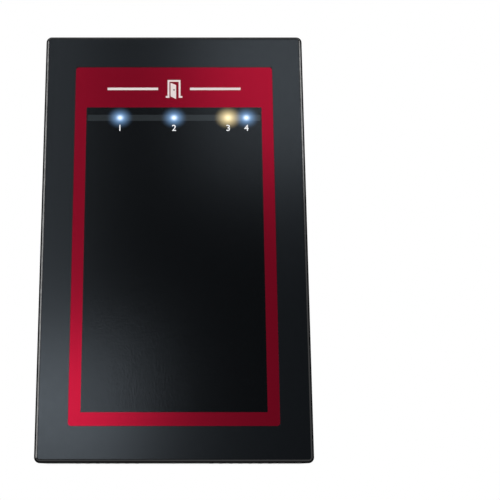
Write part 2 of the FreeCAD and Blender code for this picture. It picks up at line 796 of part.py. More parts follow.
def add_nut_channel(body):
    """A slot in the bottom rim, open towards the room, and two ribs that keep the nut from turning."""
    slot = new_sketch(body, "screw_slot", "rim_height")
    half = "(screw_radius + screw_play)"
    add_rectangle(slot, *both_sides(half), f"{BASE_BOTTOM} - 1", f"{RIM_INNER_BOTTOM} + 0.5")
    add_pocket(body, slot, f"rim_height - screw_depth + {half}")
    ribs = new_sketch(body, "nut_ribs", "base_floor")
    near = "(nut_width / 2 + nut_gap)"
    far = f"({near} + guide_rib)"
    top = f"({RIM_INNER_BOTTOM} + nut_gap + nut_height)"
    add_rectangle(ribs, near, far, RIM_INNER_BOTTOM, top)
    add_rectangle(ribs, f"-{far}", f"-{near}", RIM_INNER_BOTTOM, top)
    add_pad(body, ribs, "screw_depth + nut_depth / 2 - base_floor")


def add_hinge_pins():
    body = new_body("hinge_pin", kept=False)
    outline = new_sketch(body, "pin_outline", role="YZ_Plane")
    add_circle(outline, "0", "0", "pin_radius")
    length = "(lug_width + 2 * (hinge_gap + knuckle_width))"
    add_pad(body, outline, length)
    places = [(f"{x} - {length} / 2", "-rear_reveal", HINGE_Z) for x in both_sides("hinge_place")]
    copies("hinge_pins", body, places)


def add_cable_grommet():
    """Rubber sleeve round the cable opening with a lip on the tray's floor."""
    body = new_body("cable_grommet")
    lip = new_sketch(body, "grommet_lip", "base_floor")
    add_rectangle(
        lip,
        *both_sides("(cable_width / 2 + grommet_lip)"),
        f"{CABLE_BOTTOM} - grommet_lip",
        f"{CABLE_TOP} + grommet_lip",
    )
    add_pad(body, lip, "grommet_wall")
    dress_edges(body, "Fillet", "lip_corners", corner_edges, "cable_corner + grommet_lip")
    sleeve = new_sketch(body, "grommet_sleeve")
    add_rectangle(sleeve, *both_sides("cable_width / 2"), CABLE_BOTTOM, CABLE_TOP)
    add_pad(body, sleeve, "base_floor")
    half_width = SIZES["cable_width"] / 2
    dress_edges(body, "Fillet", "sleeve_corners", upright_at(half_width), "cable_corner")
    bore = new_sketch(body, "grommet_bore", "base_floor + grommet_wall")
    add_rectangle(
        bore,
        *both_sides("(cable_width / 2 - grommet_wall)"),
        f"{CABLE_BOTTOM} + grommet_wall",
        f"{CABLE_TOP} - grommet_wall",
    )
    add_pocket(body, bore, "base_floor + grommet_wall")
    inner = upright_at(half_width - SIZES["grommet_wall"])
    dress_edges(body, "Fillet", "bore_corners", inner, "cable_corner - grommet_wall")


def add_main_board():
    body = new_body("main_board")
    outline = new_sketch(body, "board_outline", BOARD_SEAT)
    add_rectangle(outline, *both_sides(BOARD_HALF_WIDTH), BOARD_BOTTOM, BOARD_TOP)
    add_pad(body, outline, "board_thickness")
    holes = new_sketch(body, "board_holes", BOARD_FRONT)
    for x, z in fixing_places():
        add_circle(holes, x, z, "board_screw_radius + board_screw_play")
    add_pocket(body, holes, "board_thickness")


def add_board_screws():
    body = new_body("board_screw", kept=False)
    head = new_sketch(body, "board_screw_head_outline")
    add_circle(head, "0", "0", "board_screw_head")
    add_pad(body, head, "board_screw_head_height")
    shank = new_sketch(body, "board_screw_shank")
    add_circle(shank, "0", "0", "board_screw_radius")
    add_pad(body, shank, "board_screw_length", backwards=True)
    copies("board_screws", body, [(x, f"-{BOARD_FRONT}", z) for x, z in fixing_places()])


def add_header(label, length):
    """Socket half of a terminal: a trough along Z whose open side faces the room."""
    body = block(label, "header_width", length, "header_height")
    trough = new_sketch(body, f"{label}_trough", "header_height")
    add_centred(trough, "(header_width - 2 * header_wall)", length)
    add_pocket(body, trough, "header_height - header_floor")
    return body


def add_plug(label, length, poles):
    """Plug half of a terminal: a tongue in the trough, wire holes to the left and screw holes in front.

    A row of square sockets in the back of the tongue takes the header's contacts.
    """
    body = new_body(label)
    tongue = new_sketch(body, f"{label}_tongue", "header_floor + plug_clearance")
    add_centred(tongue, "(header_width - 2 * (header_wall + plug_clearance))", length)
    add_pad(body, tongue, "header_height - header_floor")
    head = new_sketch(body, f"{label}_head", "header_height + plug_clearance")
    add_centred(head, "header_width", length)
    add_pad(body, head, "plug_height - header_height - plug_clearance")
    doc.recompute()
    front = body.Tip.Shape.BoundBox.YMin
    dress_edges(
        body,
        "Chamfer",
        f"{label}_bevel",
        lambda edge: lies_at(edge, 1, front) and runs_along(edge, 2),
        "plug_chamfer",
    )
    first = f"(pole_pitch / 2 - {poles} * pole_pitch / 2)"
    wire = new_sketch(body, f"{label}_wire", "-header_width / 2", role="YZ_Plane")
    add_circle(wire, "-wire_hole_height", first, "wire_hole_radius")
    clamp = new_sketch(body, f"{label}_clamp", "plug_height")
    add_circle(clamp, "0", first, "clamp_hole_radius")
    wire_hole = add_pocket(body, wire, "wire_hole_depth", backwards=True)
    add_row(body, f"{label}_wire_row", [wire_hole], "Z_Axis", "pole_pitch", poles)
    clamp_hole = add_pocket(body, clamp, "clamp_hole_depth")
    add_row(body, f"{label}_clamp_row", [clamp_hole], "Z_Axis", "pole_pitch", poles)
    socket = new_sketch(body, f"{label}_socket", "header_floor + plug_clearance")
    width = "(contact_width + 2 * contact_gap)"
    add_centred(socket, width, width, z=first)
    socket_hole = add_pocket(body, socket, "contact_length + contact_gap", backwards=True)
    add_row(body, f"{label}_socket_row", [socket_hole], "Z_Axis", "pole_pitch", poles)
    return body


def add_clamp_screw_master():
    body = disc("clamp_screw", "clamp_screw_radius", "clamp_screw_height", kept=False)
    slot = new_sketch(body, "clamp_screw_slot", "clamp_screw_height")
    add_centred(slot, "clamp_slot_width", "(2 * clamp_screw_radius)")
    add_pocket(body, slot, "clamp_slot_depth")
    return body


def add_terminals():
    """Two terminals at each side edge of the board and one at its bottom edge."""
    screw = add_clamp_screw_master()
    contact = block("contact", "contact_width", "contact_width", "contact_length", kept=False)
    dress_edges(contact, "Chamfer", "contact_tip", front_edges(contact), "contact_point")
    readers = (READER_LENGTH, "reader_pole_count", READER_Z)
    locks = (LOCK_LENGTH, "lock_pole_count", LOCK_Z)
    rows = [
        ("reader_1", *readers, f"-{BLOCK_X}", 0),
        ("reader_2", *readers, BLOCK_X, 180),
        ("lock_1", *locks, f"-{BLOCK_X}", 0),
        ("lock_2", *locks, BLOCK_X, 180),
        ("power", POWER_LENGTH, "power_pole_count", POWER_Z, "-power_place", 270),
    ]
    screw_level = f"-({BOARD_FRONT} + plug_height - clamp_hole_depth)"
    contact_level = f"-({BOARD_FRONT} + header_floor)"
    contact_places = []
    for name, length, poles, z, x, turn in rows:
        stand_on_board(add_header(f"{name}_header", length), x, z, turn)
        stand_on_board(add_plug(f"{name}_plug", length, poles), x, z, turn)
        steps = [f"pole_pitch * ({index} - ({poles} - 1) / 2)" for index in range(int(SIZES[poles]))]
        poles_at = [(f"{x} + {step}", z) if name == "power" else (x, f"{z} + {step}") for step in steps]
        places = [(pole_x, screw_level, pole_z) for pole_x, pole_z in poles_at]
        copies(f"{name}_clamp_screws", screw, places, [turn] * len(places))
        contact_places += [(pole_x, contact_level, pole_z) for pole_x, pole_z in poles_at]
    copies("terminal_contacts", contact, contact_places)


def add_network_jack():
    body = block("network_jack", "jack_width", "jack_length", "jack_height")
    mouth = new_sketch(body, "jack_mouth", "-jack_length / 2", role="XY_Plane")
    add_rectangle(
        mouth, *both_sides("socket_width / 2"), "-socket_floor - socket_height", "-socket_floor"
    )
    add_pocket(body, mouth, "socket_depth", backwards=True)
    stand_on_board(body, JACK_X, f"{BOARD_BOTTOM} - jack_overhang + jack_length / 2")


def add_relays():
    body = block("relay", "relay_width", "relay_length", "relay_height", kept=False)
    dress_edges(body, "Fillet", "relay_corners", corner_edges, "relay_edge")
    dress_edges(body, "Fillet", "relay_front_edge", front_edges(body), "relay_edge")
    copies("lock_relays", body, [(x, f"-{BOARD_FRONT}", LOCK_Z) for x in both_sides(RELAY_X)])


def add_selectors():
    """Slide switches that choose how each relay switches its lock."""
    body = block("selector", "selector_width", "selector_length", "selector_height", kept=False)
    channel = new_sketch(body, "selector_channel", "selector_height")
    add_centred(channel, "selector_slot_width", "selector_slot_length")
    add_pocket(body, channel, "selector_slot_depth")
    copies("selector_bodies", body, [(x, f"-{BOARD_FRONT}", SELECTOR_Z) for x in both_sides(RELAY_X)])
    for number, x in enumerate(both_sides(RELAY_X), start=1):
        label = f"selector_{number}_slider"
        slider = block(
            label, "(selector_slot_width - 2 * slider_clearance)", "slider_length", "slider_height"
        )
        bottom = f"{SELECTOR_Z} - selector_slot_length / 2 + slider_clearance + slider_length / 2"
        seat = f"({BOARD_FRONT} + selector_height - selector_slot_depth + slider_clearance)"
        stand_on_board(slider, x, bottom, depth=seat)


def add_transformer():
    core = block("transformer_core", "core_width", "core_length", "core_height")
    window = new_sketch(core, "core_window", role="XY_Plane", offset="-core_length / 2")
    inner = "(core_width / 2 - core_leg)"
    add_rectangle(window, *both_sides(inner), "core_top - core_height", "0")
    add_pocket(core, window, "core_length", backwards=True)
    stand_on_board(core, "0", CORE_Z)
    winding = block(
        "transformer_winding",
        f"(2 * ({inner} - winding_gap))",
        "(core_length + 2 * winding_bulge)",
        "(core_height - core_top - winding_gap)",
    )
    dress_edges(winding, "Fillet", "winding_ends", front_edges(winding), "winding_bulge")
    stand_on_board(winding, "0", CORE_Z)


def add_supply_parts():
    inductor = disc("inductor", "inductor_radius", "inductor_height", kept=False)
    dress_edges(inductor, "Chamfer", "inductor_bevel", front_edges(inductor), "relay_edge")
    first = f"({BOARD_BOTTOM} + inductor_rise)"
    levels = [first, f"{first} + inductor_pitch"]
    copies("supply_inductors", inductor, [("inductor_place", f"-{BOARD_FRONT}", z) for z in levels])
    capacitor = disc("capacitor", "capacitor_radius", "capacitor_height", kept=False)
    dress_edges(capacitor, "Fillet", "capacitor_rim", front_edges(capacitor), "capacitor_edge")
    first = f"({BOARD_BOTTOM} + capacitor_rise)"
    corner = [
        ("-capacitor_place", first),
        ("-capacitor_place", f"{first} + capacitor_pitch"),
        ("-capacitor_place - capacitor_pitch", first),
    ]
    copies("supply_capacitors", capacitor, [(x, f"-{BOARD_FRONT}", z) for x, z in corner])


def lying_disc(label, radius, thickness, role):
    """A round part that stands on its rim on the board, its axis along one of the board's directions."""
    body = new_body(label, kept=False)
    outline = new_sketch(body, f"{label}_outline", f"-{thickness} / 2", role=role)
    if role == "YZ_Plane":
        add_circle(outline, f"-{radius}", "0", radius)
    else:
        add_circle(outline, "0", f"-{radius}", radius)
    add_pad(body, outline, thickness)
    return body


def add_protection():
    varistor = lying_disc("varistor", "varistor_radius", "varistor_thickness", "YZ_Plane")
    level = f"{BOARD_BOTTOM} + varistor_rise"
    places = [(f"{index} * varistor_pitch - varistor_place", f"-{BOARD_FRONT}", level) for index in range(2)]
    copies("surge_varistors", varistor, places)
    fuse = lying_disc("fuse", "fuse_radius", "fuse_thickness", "XY_Plane")
    copies("resettable_fuses", fuse, [(x, f"-{BOARD_FRONT}", FUSE_Z) for x in both_sides(RELAY_X)])


def add_heat_sink():
    regulator = block("power_regulator", "regulator_width", "regulator_width", "regulator_height")
    stand_on_board(regulator, "0", SINK_Z)
    pad = block("thermal_pad", "regulator_width", "regulator_width", "pad_thickness")
    stand_on_board(pad, "0", SINK_Z, depth=f"({BOARD_FRONT} + regulator_height)")
    sink = block("heat_sink", "sink_width", "sink_length", "sink_base")
    fin = new_sketch(sink, "sink_fin", "sink_base")
    add_rectangle(
        fin, "-sink_width / 2", "fin_thickness - sink_width / 2", *both_sides("sink_length / 2")
    )
    first = add_pad(sink, fin, "sink_height - sink_base")
    add_row(sink, "sink_fins", [first], "X_Axis", "fin_pitch", "fin_count")
    stand_on_board(sink, "0", SINK_Z, depth=f"({BOARD_FRONT} + regulator_height + pad_thickness)")


def add_processor():
    module = block("processor_module", "processor_width", "processor_length", "processor_thickness")
    stand_on_board(module, "0", READER_Z)
    shield = block("processor_shield", SHIELD_WIDTH, SHIELD_LENGTH, "shield_height")
    dress_edges(shield, "Fillet", "shield_corners", corner_edges, "shield_edge")
    dress_edges(shield, "Fillet", "shield_front_edge", front_edges(shield), "shield_edge * 0.8")
    inside = new_sketch(shield, "shield_inside", "0")
    add_centred(
        inside,
        "(processor_width + 2 * shield_play)",
        "(processor_length + 2 * shield_play)",
    )
    add_pocket(shield, inside, "shield_height - shield_wall", backwards=True)
    stand_on_board(shield, "0", READER_Z)


def add_wireless_module():
    board = block("wireless_module", "wireless_width", "wireless_length", "wireless_height")
    middle = f"({BOARD_TOP} - wireless_inset - wireless_length / 2)"
    stand_on_board(board, "-wireless_place", middle)
    can = block("wireless_shield", "can_width", "can_length", "can_height")
    dress_edges(can, "Fillet", "can_corners", corner_edges, "shield_edge")
    side = "-wireless_place - wireless_width / 2 + can_width / 2 + (wireless_length - can_length) / 2"
    stand_on_board(can, side, middle, depth=f"({BOARD_FRONT} + wireless_height)")


def add_chips():
    chip = block("chip", "chip_width", "chip_length", "chip_height", kept=False)
    side = f"({SHIELD_WIDTH} / 2 + row_gap + chip_width / 2)"
    places = []
    for x in both_sides(side):
        for step in ("-chip_pitch / 2", "chip_pitch / 2"):
            places.append((x, f"-{BOARD_FRONT}", f"{READER_Z} + {step}"))
    copies("logic_chips", chip, places)


def add_battery():
    holder = disc("battery_holder", HOLDER_RADIUS, "holder_height")
    seat = new_sketch(holder, "cell_seat", "holder_height")
    add_circle(seat, "0", "0", "cell_radius + cell_clearance")
    add_pocket(holder, seat, "holder_height - holder_floor")
    stand_on_board(holder, "0", BATTERY_Z)
    cell = disc("coin_cell", "cell_radius", "cell_thickness")
    stand_on_board(cell, "0", BATTERY_Z, depth=f"({BOARD_FRONT} + holder_floor)")
    add_battery_clip()


def add_battery_clip():
    """Spring strap across the cell, with a foot on the board at each side of the holder."""
    body = new_body("battery_clip")
    profile = new_sketch(body, "clip_profile", "-clip_width / 2", role="XY_Plane")
    inner = f"({HOLDER_RADIUS} + clip_gap)"
    under = "(holder_floor + cell_thickness + clip_gap)"
    outer = f"({inner} + clip_thickness)"
    over = f"({under} + clip_thickness)"
    add_polygon(
        profile,
        [
            (outer, "0"), (outer, f"-{over}"), (f"-{outer}", f"-{over}"), (f"-{outer}", "0"),
            (f"-{inner}", "0"), (f"-{inner}", f"-{under}"), (inner, f"-{under}"), (inner, "0"),
        ],
    )
    add_pad(body, profile, "clip_width")
    stand_on_board(body, "0", BATTERY_Z)


def add_indicator_lights():
    lamp = block("lamp", "lamp_width", "lamp_length", "lamp_height", kept=False)
    copies("indicator_lights", lamp, [(x, f"-{BOARD_FRONT}", STRIP_Z) for x in light_places()])


def add_reset_switch():
    switch = block("reset_switch", "reset_width", "reset_width", "reset_height")
    bore = new_sketch(switch, "reset_bore", "reset_height")
    add_circle(bore, "0", "0", "button_radius + button_clearance")
    add_pocket(switch, bore, "button_seat + button_travel + button_clearance")
    stand_on_board(switch, RESET_X, RESET_Z)
    button = disc("reset_button", "button_radius", "(button_seat + button_proud)")
    dress_edges(button, "Chamfer", "button_bevel", front_edges(button), "button_clearance * 2")
    stand_on_board(button, RESET_X, RESET_Z, depth=f"({BOARD_FRONT} + reset_height - button_seat)")


def add_tamper_switch():
    """Switch that the cover's post holds down until the cover opens."""
    switch = block("tamper_switch", "tamper_width", "tamper_length", "tamper_height")
    bore = new_sketch(switch, "tamper_bore", "tamper_height")
    add_circle(bore, "0", "0", "plunger_radius + plunger_clearance")
    add_pocket(switch, bore, "plunger_seat + plunger_clearance")
    stand_on_board(switch, "tamper_place", TAMPER_Z)
    plunger = disc("tamper_plunger", "plunger_radius", "(plunger_seat + plunger_proud)")
    stand_on_board(plunger, "tamper_place", TAMPER_Z, depth=f"({BOARD_FRONT} + tamper_height - plunger_seat)")


def check_document():
    """Stops on a failed object, a pocket that cuts nothing or a sub-part without a sound solid."""
    for item in doc.Objects:
        if {"Invalid", "Error"} & set(item.State):
            raise RuntimeError(f"{item.Name} did not build: {item.State}")
        if item.TypeId == "PartDesign::Pocket" and item.BaseFeature:
            if item.Shape.Volume > item.BaseFeature.Shape.Volume - 1e-6:
                raise RuntimeError(f"{item.Name} cuts nothing")
    for item in sub_parts:
        if item.Shape.isNull() or not item.Shape.isValid() or not item.Shape.Solids:
            raise RuntimeError(f"{item.Label} has no sound solid")


def write_sub_parts():
    os.makedirs("parts", exist_ok=True)
    for item in sub_parts:
        item.Shape.exportStep(os.path.join("parts", f"{item.Label}.step"))


def main():
    fill_sheet()
    add_front_cover()
    add_border_film()
    add_centre_film()
    add_light_guide()
    add_cover_screw()
    add_clamp_nut()
    add_base_tray()
    add_hinge_pins()
    add_cable_grommet()
    add_main_board()
    add_board_screws()
    add_terminals()
    add_network_jack()
    add_relays()
    add_selectors()
    add_transformer()
    add_supply_parts()
    add_protection()
    add_heat_sink()
    add_processor()
    add_wireless_module()
    add_chips()
    add_battery()
    add_indicator_lights()
    add_reset_switch()
    add_tamper_switch()
    doc.recompute()
    check_document()
    write_sub_parts()
    print(f"{len(sub_parts)} sub-parts, {sum(len(item.Shape.Solids) for item in sub_parts)} solids")


main()
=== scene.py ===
import json
import math
import random
from collections import namedtuple

import bmesh
import bpy
import numpy as np
from mathutils import Matrix, Vector


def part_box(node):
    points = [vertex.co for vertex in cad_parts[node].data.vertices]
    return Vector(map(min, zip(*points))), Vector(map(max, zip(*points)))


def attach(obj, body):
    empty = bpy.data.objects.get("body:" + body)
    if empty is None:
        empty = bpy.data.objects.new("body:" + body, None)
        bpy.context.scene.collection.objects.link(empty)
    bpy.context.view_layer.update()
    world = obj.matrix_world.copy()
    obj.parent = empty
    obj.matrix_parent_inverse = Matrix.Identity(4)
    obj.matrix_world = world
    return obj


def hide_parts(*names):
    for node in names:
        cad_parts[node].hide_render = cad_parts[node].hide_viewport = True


MM = 0.001

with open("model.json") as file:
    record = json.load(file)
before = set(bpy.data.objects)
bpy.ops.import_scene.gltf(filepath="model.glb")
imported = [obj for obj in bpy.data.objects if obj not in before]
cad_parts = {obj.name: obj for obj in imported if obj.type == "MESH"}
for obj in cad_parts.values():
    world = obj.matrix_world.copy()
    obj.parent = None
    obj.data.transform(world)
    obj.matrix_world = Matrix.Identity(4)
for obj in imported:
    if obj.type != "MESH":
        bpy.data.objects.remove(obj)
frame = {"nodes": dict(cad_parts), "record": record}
nodes = frame["nodes"]
scene = bpy.context.scene
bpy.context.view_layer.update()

# Places and slots read from the frame
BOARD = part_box("main_board")
BOARD_Y = BOARD[0].y
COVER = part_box("front_cover")
FACE_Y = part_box("border_film")[0].y
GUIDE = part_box("light_guide")
STRIP_Z = (GUIDE[0].z + GUIDE[1].z) / 2
SLOT_OF = {part["node"]: part["material_slot"] for part in frame["record"]["subparts"]}

# The front, in millimetres: the cover's roundings, the thickness of ink and the heading's middle
CORNER_RADIUS = 3.0
EDGE_RADIUS = 2.0
INK = 0.02
HEADING_Z = 83.6

# The lamps: each one's place, colour, how fast its halo fades, and the strength of halo and core
WHITE = (1.0, 1.0, 1.0)
BLUE_LIGHT = (0.30, 0.57, 1.0)
AMBER_LIGHT = (1.0, 0.80, 0.42)
BLUE_LAMP = (BLUE_LIGHT, 2.4, 1.15, 1.20)
AMBER_LAMP = (AMBER_LIGHT, 1.9, 1.45, 0.15)
Lamp = namedtuple("Lamp", "x colour fade halo core")
LAMPS = [
    Lamp(x * MM, *light)
    for x, light in ((-29.05, BLUE_LAMP), (0.0, BLUE_LAMP), (29.05, AMBER_LAMP), (38.85, BLUE_LAMP))
]
HALO_RADIUS = 8.0 * MM
HALO_FLATNESS = 1.15
CORE_RADIUS = 3.0 * MM
CORE_FADE = 2.4

# The glow dims to this share between these depths behind the face
PIPE_GLOW = 0.16
PIPE_DEPTHS = (1.5 * MM, 9.0 * MM)

# Looks of the front
COVER_GLOSS = 0.067
PANEL_GLOSS = 0.038
COOL = (0.76, 0.88, 1.0)
RED = (0.098, 0.0021, 0.0080)

# The board, in millimetres, with the random seed of what is placed on it
SEED = 7
CELL = 0.5
EDGE_CELLS = 2
STANDS_BELOW = 0.6
CLEARANCE = 1.2
OFF_BOARD = ("base_tray", "main_board", "hinge_pins", "cable_grommet", "thermal_pad", "terminal_contacts")
PLACING = ((-54, 54), (-78, 92))
PART_TRIES = 900
PART_ROWS = 46
PART_SIZES = ((1.6, 0.8), (2.0, 1.25))
PART_HEIGHTS = {"resistors": 0.5, "capacitors": 0.8}
PART_GAP = 0.9
END_MARGIN = 1.6
SIDE_MARGIN = 0.8
TRACK_TRIES = 2600
TRACK_COUNTS = (1, 1, 2, 3, 4, 6)
TRACK_STEPS = (14, 110)
SHORTEST_TRACK = 12
STRAIGHT_START = 5
BEND_CHANCE = 0.05
TRACK_PITCH = 0.55
TRACK_WIDTH = 0.26
TRACK_HEIGHT = 0.035
PRINT_MIDDLE = 0.04
NUMBER_GAP = 1.7
STITCH_INSET = 0.9
SIDE_STITCHES = 57
END_STITCHES = 38
PRINT_LOW, PRINT_HIGH = 0.035, 0.055
PRINT_GAP = 0.45
PRINT_LINE = 0.16
TERMINAL_PITCH = 5.08
WIRE_HEIGHT = 11.2
SCREW_SLOT = (0.56, 3.2)

# Plated rings, in millimetres: their height, and radii inside, outside and outside at the foot
PLATING = 0.05
VIA = (0.13, 0.27, 0.29)
STITCH = (0.15, 0.32, 0.34)
FIXING = (2.0, 3.55, 3.6)

# Numerals, in millimetres: their heights, a digit's share of its font's size and its thickness
POLE_NUMBER = 1.9
LAMP_NUMBER = 3.4
LAMP_NUMBER_DROP = 5.9
DIGIT_SHARE = 0.70
DIGIT_THICKNESS = 0.012

# The studio, in metres, with the camera's lens and frame as measured in the photograph's pixels
FLOOR_Z = -1.10
FLOOR_REACH = 6.0
FLOOR_GLOW = 0.6
WORLD_LEVEL = 0.12
PICTURE_PIXELS = 500.0
FOCAL_PIXELS = 1016.0
SENSOR = 36.0
FRAME_SHIFT = (0.1519, -0.0210)
CAMERA_PLACE = (0.0, -0.5614, -0.1195)
CAMERA_TILT = 13.0
BOX_DISTANCE = -1.5
STRIP_DISTANCE = -1.12

COMPASS = [(1, 0), (1, 1), (0, 1), (-1, 1), (-1, 0), (-1, -1), (0, -1), (1, -1)]
DIAGONAL = -math.pi / 4
MITRE_LIMIT = 0.5

LOOKS = {}


class Nodes:
    """A node tree, with short ways to add and join its nodes."""

    def __init__(self, tree):
        self.tree = tree

    def add(self, kind, sockets=(), **settings):
        """A new node with its settings, and a value or link at each socket, named or in their order."""
        node = self.tree.nodes.new(kind)
        for key, value in settings.items():
            setattr(node, key, value)
        pairs = sockets.items() if isinstance(sockets, dict) else enumerate(sockets)
        for key, value in pairs:
            self.feed(node.inputs[key], value)
        return node

    def feed(self, socket, value):
        if isinstance(value, bpy.types.NodeSocket):
            self.tree.links.new(value, socket)
        else:
            socket.default_value = (*value, 1.0) if socket.type == "RGBA" else value

    def math(self, operation, *values):
        return self.add("ShaderNodeMath", values, operation=operation).outputs[0]

    def vector(self, operation, *values, output=0):
        return self.add("ShaderNodeVectorMath", values, operation=operation).outputs[output]

    def scaled(self, colour, factor):
        return self.add("ShaderNodeVectorMath", {0: colour, "Scale": factor}, operation="SCALE").outputs[0]

    def between(self, factor, low, high, start=0.3, end=0.7):
        """A number that goes from low to high as the factor goes from start to end."""
        return self.add("ShaderNodeMapRange", (factor, start, end, low, high)).outputs[0]

    def mix(self, factor, first, second):
        return self.add("ShaderNodeMix", {0: factor, 6: first, 7: second}, data_type="RGBA").outputs[2]

    def background_rays(self):
        """1 for rays from the camera, off gloss or through glass, which see the white background."""
        path = self.add("ShaderNodeLightPath").outputs
        seen = self.math("MAXIMUM", path["Is Camera Ray"], path["Is Glossy Ray"])
        return self.math("MAXIMUM", seen, path["Is Transmission Ray"])


class Surface(Nodes):
    """A material's nodes, with grains and depths in millimetres; LOOKS keeps the material by its name."""

    def __init__(self, name):
        material = bpy.data.materials.new(name)
        material.use_nodes = True
        super().__init__(material.node_tree)
        self.shader = self.tree.nodes["Principled BSDF"]
        self.place = self.add("ShaderNodeTexCoord").outputs["Object"]
        LOOKS[name] = material

    def set(self, **values):
        """Sets the shader's sockets: base_color=... means the socket called Base Color."""
        for key, value in values.items():
            name = key.replace("_", " ").title().replace("Ior", "IOR")
            self.feed(self.shader.inputs[name], value)

    def noise(self, grain, detail=3.0, roughness=0.55, place=None):
        """Noise whose grains are about that wide."""
        sockets = {
            "Vector": place or self.place, "Scale": 1.0 / (grain * MM),
            "Detail": detail, "Roughness": roughness,
        }
        return self.add("ShaderNodeTexNoise", sockets).outputs["Fac"]

    def bump(self, height, depth, strength=1.0):
        sockets = {"Strength": strength, "Distance": depth * MM, "Height": height}
        self.set(normal=self.add("ShaderNodeBump", sockets).outputs[0])


def shade(colour, factor):
    return tuple(channel * factor for channel in colour)


def moulded(name, colour, roughness, grain=0.35, depth=0.010, variation=0.08, level=0.5, mottle=0.04, **more):
    """Moulded plastic: a fine spark-eroded grain, slightly cloudy in colour and gloss."""
    surface = Surface(name)
    cloud = surface.noise(9)
    fine = surface.noise(grain, detail=4.0)
    surface.set(
        base_color=surface.mix(cloud, shade(colour, 1 - variation), shade(colour, 1 + variation)),
        roughness=surface.between(surface.noise(2.5), roughness - mottle, roughness + mottle),
        specular_ior_level=level,
        **more,
    )
    surface.bump(fine, depth)


def metal(name, colour, roughness, stretch=(1.0, 1.0, 1.0)):
    """Metal with fine brushing or pickling marks and a cloudy plating."""
    surface = Surface(name)
    fine = surface.noise(0.25, detail=5.0, place=surface.vector("MULTIPLY", surface.place, stretch))
    surface.set(
        base_color=surface.mix(surface.noise(3), shade(colour, 0.85), shade(colour, 1.05)),
        roughness=surface.between(fine, roughness - 0.07, roughness + 0.10),
        metallic=1.0,
    )
    surface.bump(fine, 0.003)


def light_glow(surface):
    """The light that spreads from each lamp's middle: a coloured halo that fades out, and a white core."""
    spread = surface.vector("MULTIPLY", surface.place, (1.0, 0.0, HALO_FLATNESS))
    total = None
    for lamp in LAMPS:
        away = surface.vector("DISTANCE", spread, (lamp.x, 0.0, STRIP_Z * HALO_FLATNESS), output=1)
        for colour, strength, radius, fade in (
            (lamp.colour, lamp.halo, HALO_RADIUS, lamp.fade),
            (WHITE, lamp.core, CORE_RADIUS, CORE_FADE),
        ):
            level = surface.math("POWER", surface.between(away, 1.0, 0.0, 0.0, radius), fade)
            glow = surface.scaled(colour, surface.math("MULTIPLY", level, strength))
            total = surface.vector("ADD", total, glow) if total else glow
    depth = surface.add("ShaderNodeSeparateXYZ", (surface.place,)).outputs["Y"]
    near, far = (FACE_Y + behind for behind in PIPE_DEPTHS)
    return surface.scaled(total, surface.between(depth, 1.0, PIPE_GLOW, near, far))


def border_red():
    """Red film: even ink with a fine grain under a satin finish that tints what it mirrors."""
    surface = Surface("border_red")
    even = surface.mix(surface.noise(0.5, detail=2.0), shade(RED, 0.94), shade(RED, 1.06))
    surface.set(
        base_color=surface.mix(surface.noise(14, detail=1.0), even, RED),
        roughness=0.23, metallic=0.31, specular_ior_level=0.0,
    )
    surface.bump(surface.noise(0.22), 0.001)


def centre_black():
    """Black film with a fine leathery grain, which the lamps light round the strip."""
    surface = Surface("centre_black")
    grain = surface.noise(0.9, roughness=0.6)
    surface.set(
        base_color=surface.mix(grain, (0.0001, 0.0001, 0.0002), (0.0010, 0.0011, 0.0014)),
        roughness=surface.between(grain, 0.14, 0.18),
        specular_ior_level=PANEL_GLOSS, specular_tint=COOL,
        emission_color=light_glow(surface), emission_strength=1.0,
    )
    surface.bump(grain, 0.04)


def light_smoke():
    """Smoky strip, paler than the film round it, with the lamps shining through."""
    surface = Surface("light_smoke")
    haze = surface.noise(3, detail=2.0)
    surface.set(
        base_color=surface.mix(haze, (0.0060, 0.0078, 0.0080), (0.0080, 0.0102, 0.0106)),
        roughness=0.22, specular_ior_level=2 * PANEL_GLOSS, specular_tint=COOL,
        emission_color=light_glow(surface), emission_strength=1.0,
    )
    surface.bump(haze, 0.002)


def board_green():
    """Green solder mask, a little paler and raised where copper lies under it."""
    surface = Surface("board_green")
    copper = surface.between(surface.noise(6, detail=1.0), 0.0, 1.0, 0.48, 0.52)
    surface.set(
        base_color=surface.mix(copper, (0.004, 0.070, 0.028), (0.006, 0.098, 0.040)),
        roughness=0.45, specular_ior_level=0.2,
    )
    surface.bump(copper, 0.02, strength=0.5)


